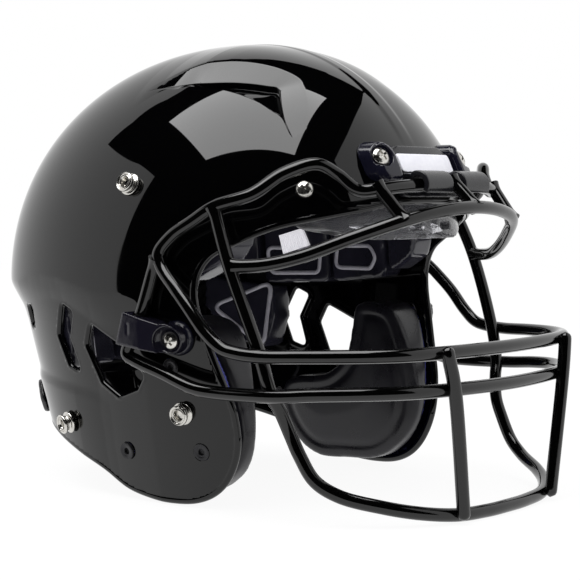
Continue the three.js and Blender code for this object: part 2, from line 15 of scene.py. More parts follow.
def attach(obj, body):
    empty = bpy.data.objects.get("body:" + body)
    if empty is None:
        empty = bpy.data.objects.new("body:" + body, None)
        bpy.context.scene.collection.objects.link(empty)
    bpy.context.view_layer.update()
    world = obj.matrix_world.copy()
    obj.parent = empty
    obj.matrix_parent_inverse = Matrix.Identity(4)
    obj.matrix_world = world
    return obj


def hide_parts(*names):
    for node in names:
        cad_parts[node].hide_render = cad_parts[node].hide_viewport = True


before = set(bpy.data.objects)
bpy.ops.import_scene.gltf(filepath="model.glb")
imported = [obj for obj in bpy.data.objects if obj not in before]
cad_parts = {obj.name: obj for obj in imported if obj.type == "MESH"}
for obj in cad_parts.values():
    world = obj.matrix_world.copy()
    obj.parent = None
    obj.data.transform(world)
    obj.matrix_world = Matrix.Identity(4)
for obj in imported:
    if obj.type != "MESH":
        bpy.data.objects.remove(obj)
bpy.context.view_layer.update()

MM = 0.001
SIDES = (("right", -1), ("left", 1))


# ---------------------------------------------------------------- camera

CAMERA_PLACE = (-783.6, -633.8, 169.4)
CAMERA_AIM = (0, -15, 114.45)
CAMERA_LENS = 105.5


def aimed(place, aim):
    """A matrix that stands at place and looks at aim, both in millimetres."""
    look = Vector(aim) - Vector(place)
    turn = look.to_track_quat("-Z", "Y").to_matrix().to_4x4()
    return Matrix.Translation(Vector(place) * MM) @ turn


def placed(name, data):
    """A new object in the scene."""
    made = bpy.data.objects.new(name, data)
    bpy.context.scene.collection.objects.link(made)
    return made


camera = placed("camera", bpy.data.cameras.new("camera"))
camera.data.lens = CAMERA_LENS
camera.data.sensor_width = 36
camera.matrix_world = aimed(CAMERA_PLACE, CAMERA_AIM)
bpy.context.scene.camera = camera


# ---------------------------------------------------------------- materials


def shader_of(made):
    return made.node_tree.nodes["Principled BSDF"]


def material(name, **values):
    """A Principled material with some of its sockets set."""
    made = bpy.data.materials.new(name)
    made.use_nodes = True
    for socket, value in values.items():
        shader_of(made).inputs[socket.replace("_", " ")].default_value = value
    return made


def noise(made, scale, detail):
    """A noise texture in the object's own space; scale is in waves per metre."""
    nodes, links = made.node_tree.nodes, made.node_tree.links
    place = nodes.new("ShaderNodeTexCoord")
    texture = nodes.new("ShaderNodeTexNoise")
    texture.inputs["Scale"].default_value = scale
    texture.inputs["Detail"].default_value = detail
    links.new(place.outputs["Object"], texture.inputs["Vector"])
    return texture.outputs["Fac"]


def vary(made, scale, low, high):
    """Lets the roughness wander between low and high over the surface."""
    spread = made.node_tree.nodes.new("ShaderNodeMapRange")
    for socket, value in (("From Min", 0.3), ("From Max", 0.7), ("To Min", low), ("To Max", high)):
        spread.inputs[socket].default_value = value
    made.node_tree.links.new(noise(made, scale, 3), spread.inputs["Value"])
    made.node_tree.links.new(spread.outputs["Result"], shader_of(made).inputs["Roughness"])


def tint(made, scale, dark, light):
    """Colour that wanders between dark and light."""
    colors = made.node_tree.nodes.new("ShaderNodeValToRGB")
    for element, place, color in zip(colors.color_ramp.elements, (0.3, 0.7), (dark, light)):
        element.position = place
        element.color = (*color, 1)
    made.node_tree.links.new(noise(made, scale, 3), colors.inputs["Fac"])
    made.node_tree.links.new(colors.outputs["Color"], shader_of(made).inputs["Base Color"])


def bump(made, scale, height, strength):
    """Fine relief; height in metres."""
    node = made.node_tree.nodes.new("ShaderNodeBump")
    node.inputs["Strength"].default_value = strength
    node.inputs["Distance"].default_value = height
    made.node_tree.links.new(noise(made, scale, 2), node.inputs["Height"])
    made.node_tree.links.new(node.outputs["Normal"], shader_of(made).inputs["Normal"])


def surface(name, color, roughness, relief, **values):
    """A finished material. color is one colour, or (waves per metre, dark, light) where it varies, and
    roughness is one number or (waves, low, high). relief is (waves, height in metres, strength)."""
    made = material(name, **values)
    if isinstance(color[1], tuple):
        tint(made, *color)
    else:
        shader_of(made).inputs["Base Color"].default_value = (*color, 1)
    if isinstance(roughness, tuple):
        vary(made, *roughness)
    else:
        shader_of(made).inputs["Roughness"].default_value = roughness
    bump(made, *relief)
    return made


MATERIALS = {
    "shell": surface("shell_gloss", (0.0006, 0.0006, 0.0007), (45, 0.012, 0.035), (60, 0.00001, 0.25),
                     Specular_IOR_Level=0.42),
    "wire": surface("bar_coating", (0.0008, 0.0008, 0.0008), (140, 0.05, 0.12), (420, 0.00006, 0.35)),
    "clip": surface("clip_navy", (0.005, 0.005, 0.011), (160, 0.091, 0.195), (260, 0.00005, 0.3)),
    "smoke": surface("side_clip_smoke", (0.006, 0.0055, 0.010), (160, 0.07, 0.15), (260, 0.00005, 0.3)),
    "dark": surface("dark_plastic", (0.006, 0.006, 0.008), (200, 0.18, 0.32), (900, 0.00003, 0.4)),
    "plate": surface("plate_white", (300, (0.70, 0.70, 0.76), (0.76, 0.76, 0.81)), 0.35,
                     (1500, 0.00002, 0.3)),
    "chrome": surface("bright_metal", (500, (0.55, 0.54, 0.51), (0.68, 0.66, 0.62)), (700, 0.15, 0.28),
                      (2500, 0.00001, 0.3), Metallic=1.0),
    "dark_metal": surface("dark_metal", (0.02, 0.02, 0.022), (800, 0.2, 0.45), (2500, 0.00001, 0.4),
                          Metallic=0.6),
    "liner": surface("liner_smoke", (40, (0.009, 0.009, 0.014), (0.020, 0.019, 0.030)), (70, 0.09, 0.26),
                     (180, 0.0001, 0.3), IOR=1.46),
    "clear": surface("liner_clear", (90, (0.60, 0.60, 0.63), (0.76, 0.76, 0.79)), (120, 0.05, 0.16),
                     (300, 0.0001, 0.3), IOR=1.3, Transmission_Weight=0.92),
    "channel": surface("liner_channel", (120, (0.35, 0.34, 0.39), (0.44, 0.43, 0.48)), (150, 0.2, 0.4),
                       (400, 0.00005, 0.3)),
    "jaw": surface("jaw_foam", (30, (0.0045, 0.0042, 0.006), (0.009, 0.0085, 0.012)), (60, 0.24, 0.36),
                   (2200, 0.00004, 0.4), Specular_IOR_Level=0.38),
    "backing": surface("backing_blue", (120, (0.034, 0.04, 0.22), (0.06, 0.066, 0.32)), 0.4,
                       (900, 0.00003, 0.3)),
    # the label's cloth glows a little: painted light, standing in for the light that falls on it inside the
    # shell
    "label": surface("label_cloth_painted_glow", (500, (0.66, 0.66, 0.68), (0.82, 0.82, 0.82)), 0.7,
                     (3000, 0.00004, 0.5), Emission_Color=(0.95, 0.93, 1.0, 1), Emission_Strength=0.38),
}


# ---------------------------------------------------------------- curves


def unit(vectors):
    """Vectors scaled to a length of one."""
    return vectors / np.linalg.norm(vectors, axis=-1, keepdims=True)


def spline(points, step, closed=False):
    """Points of a centripetal Catmull-Rom curve, about step apart, in millimetres."""
    p = np.array(points, float)
    if closed:
        p = np.vstack([p[-1], p, p[0], p[1]])
    else:
        p = np.vstack([2 * p[0] - p[1], p, 2 * p[-1] - p[-2]])
    made = []
    for a, b, c, d in zip(p[:-3], p[1:-2], p[2:-1], p[3:]):
        gaps = [max(np.linalg.norm(v - u), 1e-6) ** 0.5 for u, v in ((a, b), (b, c), (c, d))]
        knots = np.cumsum([0] + gaps)
        count = max(1, round(np.linalg.norm(c - b) / step))
        t = np.linspace(knots[1], knots[2], count, endpoint=False)[:, None]
        made.append(barry_goldman((a, b, c, d), knots, t))
    if not closed:
        made.append(p[-2][None, :])
    return np.vstack(made)


def barry_goldman(p, k, t):
    """The points of one stretch of the curve, from four corners and their knots."""

    def mix(u, v, i, j):
        return u * (k[j] - t) / (k[j] - k[i]) + v * (t - k[i]) / (k[j] - k[i])

    a, b, c = mix(p[0], p[1], 0, 1), mix(p[1], p[2], 1, 2), mix(p[2], p[3], 2, 3)
    return mix(mix(a, b, 0, 2), mix(b, c, 1, 3), 1, 2)


def rounded(corners, radius, step=1.0):
    """A closed polygon of 2-D corners with each corner rounded off, as points about step apart."""
    p = np.array(corners, float)
    made = []
    for before, corner, after in zip(np.roll(p, 1, 0), p, np.roll(p, -1, 0)):
        u, v = unit(before - corner), unit(after - corner)
        angle = math.acos(max(-1, min(1, float(u @ v))))
        cut = radius / math.tan(angle / 2)
        start, end = corner + u * cut, corner + v * cut
        count = max(2, round((math.pi - angle) * radius / step))
        t = np.linspace(0, 1, count + 1)[:, None]
        made.append((1 - t) ** 2 * start + 2 * t * (1 - t) * corner + t**2 * end)
    return refined(np.vstack(made), step)


def refined(loop, step):
    """A closed loop with its long stretches split."""
    made = []
    for a, b in zip(loop, np.roll(loop, -1, 0)):
        count = max(1, round(np.linalg.norm(b - a) / step))
        made += [a + (b - a) * i / count for i in range(count)]
    return np.array(made)


def distance_to(line, points):
    """Distance from each 2-D point to an open line of 2-D points."""
    line = np.array(line, float)
    best = np.full(len(points), 1e9)
    for a, b in zip(line[:-1], line[1:]):
        run = b - a
        t = np.clip(((points - a) @ run) / (run @ run), 0, 1)
        best = np.minimum(best, np.linalg.norm(points - a - t[:, None] * run, axis=1))
    return best


def inside(polygon, points):
    """Which 2-D points lie in a closed polygon."""
    polygon = np.array(polygon, float)
    odd = np.zeros(len(points), bool)
    for a, b in zip(polygon, np.roll(polygon, -1, 0)):
        crosses = (a[1] > points[:, 1]) != (b[1] > points[:, 1])
        x = a[0] + (points[:, 1] - a[1]) * (b[0] - a[0]) / (b[1] - a[1] + 1e-12)
        odd ^= crosses & (points[:, 0] < x)
    return odd


def ramp(t, softness=0.06):
    """0 below 0, 1 above 1 and straight between, with softened ends."""
    return (np.sqrt(t**2 + softness**2) - np.sqrt((t - 1) ** 2 + softness**2) + 1) / 2


# ---------------------------------------------------------------- meshes


def mesh_object(name, points, faces):
    """An object from points in millimetres."""
    mesh = bpy.data.meshes.new(name)
    mesh.from_pydata((np.array(points, float) * MM).tolist(), [], faces)
    mesh.validate()
    return placed(name, mesh)


def discard(obj):
    mesh = obj.data
    bpy.data.objects.remove(obj)
    bpy.data.meshes.remove(mesh)


def applied(obj):
    """Makes the object's modifiers part of its mesh."""
    bpy.context.view_layer.update()
    evaluated = obj.evaluated_get(bpy.context.evaluated_depsgraph_get())
    mesh = bpy.data.meshes.new_from_object(evaluated)
    old = obj.data
    obj.modifiers.clear()
    obj.data = mesh
    mesh.name = obj.name
    bpy.data.meshes.remove(old)
    return obj


def combined(obj, others, operation):
    """Joins (UNION), cuts (DIFFERENCE) or keeps the shared part (INTERSECT). The others are used up, all
    in one step."""
    other = joined("other", others) if len(others) > 1 else others[0]
    change = obj.modifiers.new("change", "BOOLEAN")
    change.operation = operation
    change.solver = "MANIFOLD"
    change.object = other
    applied(obj)
    discard(other)
    return obj


def joined(name, objects):
    """Puts several objects' meshes in one object, without a boolean."""
    whole = bmesh.new()
    for obj in objects:
        part = obj.data.copy()
        part.transform(obj.matrix_world)
        whole.from_mesh(part)
        bpy.data.meshes.remove(part)
    mesh = bpy.data.meshes.new(name)
    whole.to_mesh(mesh)
    whole.free()
    for obj in objects:
        discard(obj)
    return placed(name, mesh)


def shade_smooth(mesh):
    mesh.polygons.foreach_set("use_smooth", [True] * len(mesh.polygons))


def places_of(mesh):
    """The places of the mesh's points, in millimetres."""
    places = np.zeros(len(mesh.vertices) * 3)
    mesh.vertices.foreach_get("co", places)
    return places.reshape(-1, 3) / MM


def smoothed(obj, angle=35):
    """Smooth shading, with edges sharper than the angle kept crisp."""
    shade_smooth(obj.data)
    obj.data.set_sharp_from_angle(angle=math.radians(angle))
    return obj


def moulded(obj, voxel, rounds):
    """Rounds every edge as a moulding has it: a fine remesh, then smoothing."""
    remesh = obj.modifiers.new("remesh", "REMESH")
    remesh.mode = "VOXEL"
    remesh.voxel_size = voxel * MM
    soften = obj.modifiers.new("soften", "SMOOTH")
    soften.factor = 0.5
    soften.iterations = rounds
    applied(obj)
    shade_smooth(obj.data)
    return obj


def grid_faces(rings, segments):
    """Quads between closed rings of points, each ring further along the outward side."""
    faces = []
    for low in range(0, (rings - 1) * segments, segments):
        high = low + segments
        for i in range(segments):
            after = (i + 1) % segments
            faces.append((low + i, low + after, high + after, high + i))
    return faces


def sweep(name, line, radius, sides=20, closed=False, ups=None):
    """A round tube along a line; radius may be one number or one per point."""
    line = np.array(line, float)
    count = len(line)
    radius = np.broadcast_to(np.array(radius, float), count)
    tangents = loop_tangents(line) if closed else unit(np.gradient(line, axis=0))
    if ups is None:
        ups = carried_normals(tangents)
    across = unit(np.cross(tangents, ups))
    ups = np.cross(across, tangents)
    turn = np.linspace(0, 2 * math.pi, sides, endpoint=False)
    ring = np.cos(turn)[None, :, None] * ups[:, None] + np.sin(turn)[None, :, None] * across[:, None]
    points = (line[:, None] + radius[:, None, None] * ring).reshape(-1, 3)
    faces = [tuple(reversed(face)) for face in grid_faces(count, sides)]
    if closed:
        last = (count - 1) * sides
        faces += [(i, last + i, last + (i + 1) % sides, (i + 1) % sides) for i in range(sides)]
    else:
        faces += [tuple(range(sides)), tuple(reversed(range((count - 1) * sides, count * sides)))]
    return outward(mesh_object(name, points, faces))


def loop_tangents(line):
    return unit(np.roll(line, -1, 0) - np.roll(line, 1, 0))


def carried_normals(tangents):
    """Directions at right angles to the tangents that turn as little as possible on the way."""
    start = np.cross(tangents[0], (0, 0, 1))
    if np.linalg.norm(start) < 0.1:
        start = np.cross(tangents[0], (0, 1, 0))
    normals = [unit(start)]
    for tangent in tangents[1:]:
        normals.append(unit(normals[-1] - (normals[-1] @ tangent) * tangent))
    return np.array(normals)


def turned(name, profile, seat=None, lift=0.0, sides=48):
    """A turned piece along +Z from a closed profile of (radius, height) points, stood on a seat."""
    points, rows = [], []
    turn = np.linspace(0, 2 * math.pi, sides, endpoint=False)
    for r, h in profile:
        if r < 1e-6:
            rows.append([len(points)] * sides)
            points.append((0, 0, h))
        else:
            rows.append(list(range(len(points), len(points) + sides)))
            points += [(r * math.cos(t), r * math.sin(t), h) for t in turn]
    faces = []
    pairs = list(zip(rows, rows[1:]))
    if profile[0][0] > 1e-6:
        pairs.append((rows[-1], rows[0]))
    for low, high in pairs:
        for i in range(sides):
            j = (i + 1) % sides
            face = list(dict.fromkeys((low[i], low[j], high[j], high[i])))
            if len(face) > 2:
                faces.append(tuple(face))
    made = mesh_object(name, points, faces)
    if seat is not None:
        stand(made, seat, lift)
    return made


def stand(obj, seat, lift=0.0):
    """Stands a piece made along +Z on a seat, lifted along the seat's normal."""
    place, normal = seat
    turn = Vector((0, 0, 1)).rotation_difference(Vector(normal)).to_matrix().to_4x4()
    place = Vector(np.array(place) + lift * np.array(normal)) * MM
    obj.data.transform(Matrix.Translation(place) @ turn)
    return obj


def prism(name, outline, low, high, axis="X"):
    """A prism along one axis; its outline's points hold the other two places, in their usual order."""
    count = len(outline)
    at = "XYZ".index(axis)
    ends = [[(*point[:at], end, *point[at:]) for point in outline] for end in (low, high)]
    faces = [(i, (i + 1) % count, count + (i + 1) % count, count + i) for i in range(count)]
    faces += [tuple(reversed(range(count))), tuple(range(count, 2 * count))]
    return outward(mesh_object(name, ends[0] + ends[1], faces))


def outward(obj):
    """Turns every face outwards."""
    work = bmesh.new()
    work.from_mesh(obj.data)
    bmesh.ops.recalc_face_normals(work, faces=work.faces)
    work.to_mesh(obj.data)
    work.free()
    return obj


def on_both_sides(*makers):
    for name, sign in SIDES:
        for make in makers:
            make(name, sign)


def finished(obj, body, look, slot, *nodes):
    """Gives a piece its material and its body, and hides the CAD nodes that it stands for. slot is not
    used.
    """
    obj.data.materials.clear()
    obj.data.materials.append(MATERIALS[look])
    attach(obj, body)
    if nodes:
        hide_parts(*nodes)
    return obj


# ---------------------------------------------------------------- the shell's form

HALF_WIDTH = 116.8
FRONT_REACH = 132.1        # from MIDDLE_Y to the brow
REAR_REACH = 159.3         # and to the rear
CROWN_HEIGHT = 142.7       # of the dome over WIDE_LEVEL
WIDE_LEVEL = 116.0         # z where the shell is widest
MIDDLE_Y = 11.2
PLAN_POWER = 2.32          # of the superellipse seen from above
DOME_POWER = 2.09          # and from the side
FLAP_TAPER = 0.165         # share of the width that the flaps draw in
LEDGE_DROP = 12.0          # how far the rear steps in between the next two levels
LEDGE_TOP = 118.0
LEDGE_BOTTOM = 98.0
REAR_SLOPE = 0.3           # of the rear under the ledge
WALL = 4.0

# Grids of the head form: step in height below WIDE_LEVEL, rings above it, and points round.
SHELL_GRID = (1.5, 150, 640)
CAVITY_GRID = (3.0, 80, 320)
LAYER_GRID = (3.0, 60, 240)
BACKING_GRID = (3.0, 48, 200)
ROUGH_GRID = (4.0, 48, 200)
LOW_FLOOR = -40            # of a form that cuts another, which starts higher up


def half_width(z, offset):
    below = np.clip((WIDE_LEVEL - z) / WIDE_LEVEL, 0, None)
    return HALF_WIDTH * (1 - FLAP_TAPER * below**1.3) + offset


def rear_reach(z, offset):
    step = ramp((LEDGE_TOP - z) / (LEDGE_TOP - LEDGE_BOTTOM), 0.12)
    lean = REAR_SLOPE * np.clip(LEDGE_BOTTOM - z, 0, None)
    return REAR_REACH - LEDGE_DROP * step - lean + offset


def form_value(p, offset=0.0):
    """Below 1 inside the shell's outer face (or the face offset from it), above 1 outside."""
    x, y, z = p[:, 0], p[:, 1], p[:, 2]
    reach = np.where(y < MIDDLE_Y, FRONT_REACH + offset, rear_reach(z, offset))
    plan = np.abs(x / half_width(z, offset)) ** PLAN_POWER + np.abs((y - MIDDLE_Y) / reach) ** PLAN_POWER
    rise = np.clip((z - WIDE_LEVEL) / (CROWN_HEIGHT + offset), 0, None) ** DOME_POWER
    return plan ** (DOME_POWER / PLAN_POWER) + rise


def gradient(value, p, step=0.2):
    made = np.zeros_like(p)
    for axis in range(3):
        shift = np.zeros(3)
        shift[axis] = step
        made[:, axis] = (value(p + shift) - value(p - shift)) / (2 * step)
    return made


def form_normals(p):
    return unit(gradient(form_value, p))


def form_height(p):
    """Height over the outer face, nearly in millimetres, for points close to it."""
    slope = gradient(form_value, p)
    return (form_value(p) - 1) / np.linalg.norm(slope, axis=1)


def farthest_within(test, count, low, high):
    """For each of count points, the largest number between low and high that still passes the test."""
    low, high = np.full(count, float(low)), np.full(count, float(high))
    for _ in range(40):
        middle = (low + high) / 2
        passed = test(middle)
        low, high = np.where(passed, middle, low), np.where(passed, high, middle)
    return low


def on_form(x=None, y=None, z=None, sign=-1, offset=0.0):
    """Points of the outer face, or of one offset from it, and their normals.
    With z and y given they lie on the side named by sign, and with z and x at the front, or at the rear
    where sign is 1."""
    z = np.atleast_1d(np.array(z, float))
    known = np.broadcast_to(np.array(y if x is None else x, float), z.shape)

    def place(t):
        if x is None:
            return np.stack([sign * t, known, z], 1)
        return np.stack([known, MIDDLE_Y + sign * t, z], 1)

    points = place(farthest_within(lambda t: form_value(place(t), offset) < 1, len(z), 0, 250))
    return points, form_normals(points)


def seat_at(sign, y, z):
    points, normals = on_form(y=y, z=z, sign=sign)
    return points[0], normals[0]


def form_rings(offset, grid, floor):
    """Rings of points of the form grown by offset, from the floor up to the crown."""
    low_step, high_count, segments = grid
    rises = np.linspace(0, math.pi / 2, high_count, endpoint=False)
    low_z = np.linspace(floor, WIDE_LEVEL, round((WIDE_LEVEL - floor) / low_step), endpoint=False)
    high_z = WIDE_LEVEL + (CROWN_HEIGHT + offset) * np.sin(rises) ** (2 / DOME_POWER)
    z = np.concatenate([low_z, high_z])[:, None]
    shrink = np.concatenate([np.ones_like(low_z), np.cos(rises) ** (2 / DOME_POWER)])[:, None]
    turn = np.linspace(0, 2 * math.pi, segments, endpoint=False)[None, :]
    across = np.sign(np.cos(turn)) * np.abs(np.cos(turn)) ** (2 / PLAN_POWER)
    along = np.sign(np.sin(turn)) * np.abs(np.sin(turn)) ** (2 / PLAN_POWER)
    reach = np.where(along < 0, FRONT_REACH + offset, rear_reach(z, offset))
    x = half_width(z, offset) * shrink * across
    y = MIDDLE_Y + reach * shrink * along
    return np.stack([x, y, np.broadcast_to(z, x.shape)], 2)


def head_form(name, offset, grid, floor, relief=None):
    """The closed head form, grown or shrunk from the shell's outer face."""
    rings = form_rings(offset, grid, floor)
    count, segments, _axes = rings.shape
    points = rings.reshape(-1, 3)
    points = np.vstack([points, [[0, MIDDLE_Y, floor], [0, MIDDLE_Y, WIDE_LEVEL + CROWN_HEIGHT + offset]]])
    if relief is not None:
        points = points + form_normals(points) * relief(points)[:, None]
    bottom, top, last = count * segments, count * segments + 1, (count - 1) * segments
    faces = grid_faces(count, segments)
    faces += [(bottom, (i + 1) % segments, i) for i in range(segments)]
    faces += [(last + i, last + (i + 1) % segments, top) for i in range(segments)]
    return mesh_object(name, points, faces)


# ---------------------------------------------------------------- relief of the outer face

LEDGE_LINE = (
    (-6, 111), (0, 113.5), (12, 115.5), (34, 116.5), (48, 120), (66.6, 124), (83, 124.7), (98, 123.1),
    (114, 119.2), (165, 118),
)
LEDGE_FOOT = (
    (-6, 108), (0, 104), (14, 96), (27, 98), (39, 101), (51, 106), (62, 109.7), (73.5, 110.9), (90, 109.5),
    (109, 106.4), (165, 98),
)
LEDGE_DEPTH = 2.6
NECK_LINE = ((34, 58), (45.6, 61.1), (64.3, 62.7), (88, 64.8), (107, 66.7), (165, 68))
NECK_STEP = 1.5
RIDGE_HALF_WIDTH = 5.0
RIDGE_HEIGHT = 0.45
# The hood and its scoop, from rear to front, in the top view of the wearer's left: a point of the crown
# edge, of the lower edge and of the scoop's foot, then how far the lower edge falls and the scoop steps.
HOOD = (
    (73.0, 31, 73.4, 31, 74.5, 31, 0.0, 0.0),
    (68.6, 24, 72.6, 22, 75.5, 21, 0.3, 0.0),
    (63.1, 13.6, 71.0, 12, 75.0, 11, 1.0, 0.0),
    (57.8, 2.7, 66.9, 1.5, 72.4, 0, 3.2, 0.4),
    (54.8, -4.5, 65.9, -5.2, 72.2, -8, 3.4, 2.4),
    (51.9, -13.1, 64.4, -12.7, 71.8, -16, 3.5, 3.2),
    (45.8, -31.7, 59.2, -30.9, 70.6, -32, 3.6, 3.8),
    (42.2, -43.5, 54.9, -42, 69.8, -41, 3.7, 3.8),
    (40.3, -54.3, 52.3, -47.1, 69.2, -47, 3.7, 3.6),
    (41.0, -57.5, 52.7, -48.6, 69.1, -48.2, 3.7, 3.6),
    (49.5, -68, 59.2, -55.5, 68.3, -56, 3.2, 2.8),
    (54.5, -72, 62.6, -59.4, 67.5, -60.2, 2.8, 1.8),
    (57.5, -74.6, 65.2, -62.6, 67.6, -63.4, 2.3, 0.2),
    (59.5, -76.2, 67.8, -68, 69.4, -68.4, 1.4, 0.0),
    (61.0, -77.4, 69.7, -73.1, 70.2, -73.4, 0.0, 0.0),
)
HOOD_RISE = ((-58, 0.0), (-45, 0.6), (-31, 1.2), (-13, 1.9), (0, 2.2), (10, 1.6), (22, 0.5), (36, 0.0))
HOOD_LEVEL = 180           # z over which the hood lies
HOOD_TIP = 8               # the last row before the hood turns round its front end
LEAST_HOOD_WIDTH = 9
RIDGE_EDGE = 6             # x where the rise begins beside the crown's ridge
UNDERCUT = 0.5             # of the step under the hood
CUTTER_HEIGHT = 16
HOLLOW_DEPTH = 5.2         # of the hood's hollow inside the shell
HOLLOW_OUTLINE = (
    (73, 31), (57.8, 2.7), (45.8, -31.7), (40.4, -55.8), (43.8, -62.2), (61, -77.4), (70, -73.4), (69, -57),
    (72.2, -32), (74, -6),
)


def relief_of(p):
    """Height of the raised and sunk features over the plain form, in millimetres."""
    x, y, z = p[:, 0], p[:, 1], p[:, 2]
    made = neck_relief(y, z) + ridge_relief(x, y, z) - ledge_relief(y, z)
    high = z > HOOD_LEVEL
    made[high] += hood_rise(p[high])
    return made


def hood_rise(p):
    """How far the hood's crown edge stands over the plain form; it runs out on both sides of the edge."""
    x, y = np.abs(p[:, 0]), p[:, 1]
    rows = HOOD[HOOD_TIP::-1]
    crown = np.interp(y, [row[1] for row in rows], [row[0] for row in rows])
    lower = np.interp(y, [row[3] for row in rows], [row[2] for row in rows])
    lower = np.maximum(lower, crown + LEAST_HOOD_WIDTH)
    share = np.clip((x - RIDGE_EDGE) / (crown - RIDGE_EDGE), 0, 1)
    inner_side = share**2 * (3 - 2 * share)
    outer_side = np.clip((lower - x) / (lower - crown), 0, 1)
    return np.interp(y, *zip(*HOOD_RISE)) * np.where(x < crown, inner_side, outer_side)


def ledge_relief(y, z):
    top = np.interp(y, *zip(*LEDGE_LINE))
    foot = np.interp(y, *zip(*LEDGE_FOOT))
    depth = LEDGE_DEPTH * np.clip((y + 2) / 40, 0, 1)
    return depth * ramp((top - z) / (top - foot))


def neck_relief(y, z):
    line = np.interp(y, *zip(*NECK_LINE))
    share = np.clip((y - 30) / 30, 0, 1)
    return NECK_STEP * share * ramp((line - z) / 5, 0.15)


def ridge_relief(x, y, z):
    fade = ramp((z - 196) / 14, 0.2) * np.where(y > MIDDLE_Y, ramp((z - 150) / 60, 0.2), 1)
    return RIDGE_HEIGHT * fade * ramp((RIDGE_HALF_WIDTH - np.abs(x)) / 3 + 0.5, 0.2)


def hood_hollow(p):
    """The hood's hollow as it shows inside the shell: a wide shallow swelling."""
    plan = np.column_stack([np.abs(p[:, 0]), p[:, 1]])
    far = distance_to(HOLLOW_OUTLINE + HOLLOW_OUTLINE[:1], plan)
    far = np.where(inside(HOLLOW_OUTLINE, plan), 0, far)
    upper = ramp((p[:, 2] - 160) / 20)
    return -HOLLOW_DEPTH * (1 - ramp(far / 10, 0.2)) * upper


def hood_sections():
    """Lines along the hood, as (top view, height over the outer face), from its crown edge over the sloping
    face and down the step under its lower edge to the scoop's foot."""
    lines = spline(HOOD, 1.5)
    crown, lower, foot, fall, step = lines[:, :2], lines[:, 2:4], lines[:, 4:6], lines[:, 6], lines[:, 7]
    under = lower - unit(foot - lower) * (UNDERCUT * np.clip(step, 0, 1))[:, None]
    start = np.column_stack([crown, on_top(crown)])
    rise = hood_rise(start) / form_normals(start)[:, 2] + 0.02
    face = [(crown * (1 - t) + lower * t, rise * (1 - t) - fall * t * (1.25 - 0.25 * t))
            for t in np.linspace(0, 1, 18)]
    drop = [(lower * (1 - t) + under * t, -fall - (step + 0.1) * t) for t in (0.1, 0.5, 0.9, 1)]
    scoop = [(under * (1 - t) + foot * t, 0.1 - (fall + step) * (1 - t) ** 0.85)
             for t in np.linspace(0.06, 1, 16)]
    return face + drop + scoop


def hood_cutter(sign):
    """The room over the hood's sloping face and over the scoop under it."""
    sheets = [np.stack([plan[:, 0] * sign, plan[:, 1], on_top(plan) + height], 1)
              for plan, height in hood_sections()]
    floor = np.array(sheets)
    return closed_slab("hood", np.array([floor, floor + (0, 0, CUTTER_HEIGHT)]))


def on_top(plan):
    """Height of the outer face over points of the top view."""
    return farthest_within(lambda z: form_value(np.column_stack([plan, z])) < 1, len(plan), WIDE_LEVEL, 300)


def closed_slab(name, points):
    """A closed solid from two sheets of points, (2, rows, columns, 3), sharing their outline."""
    _two, rows, columns, _three = points.shape

    def at(sheet, row, column):
        return (sheet * rows + row) * columns + column

    faces = []
    for r in range(rows - 1):
        for c in range(columns - 1):
            corners = ((r, c), (r, c + 1), (r + 1, c + 1), (r + 1, c))
            faces += [tuple(at(sheet, *corner) for corner in corners) for sheet in (0, 1)]
    rim = [(0, c) for c in range(columns)] + [(r, columns - 1) for r in range(1, rows)]
    rim += [(rows - 1, c) for c in range(columns - 2, -1, -1)] + [(r, 0) for r in range(rows - 2, 0, -1)]
    for a, b in zip(rim, rim[1:] + rim[:1]):
        faces.append((at(0, *a), at(0, *b), at(1, *b), at(1, *a)))
    return outward(mesh_object(name, points.reshape(-1, 3), faces))


# ---------------------------------------------------------------- outlines of the shell

BROW_LINE = (
    (-140, 167), (-112, 165.3), (-104.5, 161.2), (-90, 156.5), (-75, 151.8), (-58, 143.7), (-46.5, 137),
)
FLAP_LINE = (
    (-46.5, 137), (-41.3, 130), (-38.8, 121), (-39.2, 112), (-43.4, 96), (-50.8, 70.6), (-54.3, 59),
    (-55.8, 46), (-55, 35), (-51.4, 24), (-45, 14), (-36.5, 7), (-25, 2.6), (-9, 1.1), (8, 2.1), (26, 5.6),
    (47, 15.5), (83, 27),
)
NECK_EDGE = ((83, 27), (110, 33), (135, 35), (200, 36))
EAR_OPENING = ((39.4, 98.1), (14, 87), (-0.6, 72.2), (5.5, 64), (19.5, 59), (33.8, 66.3), (44.2, 86.5))
CHEVRON_VENT = ((64.3, 108.6), (54.6, 104.2), (60.3, 89.5), (52.5, 69.7), (63.1, 73.3), (71.4, 90.6))
REAR_VENT = ((102.5, 105), (112, 105), (112, 92), (105, 92))
RIM = 2.0                 # radius of the rounded edges, half the wall
VENT_RIM = 2.02
EDGE_RIM = 2.25           # the lower edge stands a little proud as a bead
MIDDLE_SPAN = {-1: 96.0, 1: 88.0}    # half the width of the brow's and the neck's middle part
FIRST_GUESS = {-1: 160.0, 1: 33.0}   # z of their edges
FLAP_REACH = 60           # how far the flap's bottom reaches along y


def shell_edge():
    """The side view of the shell's lower edge as a closed outline of (y, z) points."""
    line = spline(BROW_LINE + FLAP_LINE[1:] + NECK_EDGE[1:], 1.0)
    return np.vstack([line, [[200, 300], [-140, 300]]])


def shrunk(outline, amount):
    """A closed outline moved inwards (or outwards for a negative amount)."""
    outline = np.array(outline, float)
    ahead, behind = np.roll(outline, -1, 0), np.roll(outline, 1, 0)
    run = ahead - behind
    side = unit(np.stack([-run[:, 1], run[:, 0]], 1))
    area = np.sum(outline[:, 0] * ahead[:, 1] - ahead[:, 0] * outline[:, 1])
    return outline + side * amount * np.sign(area)


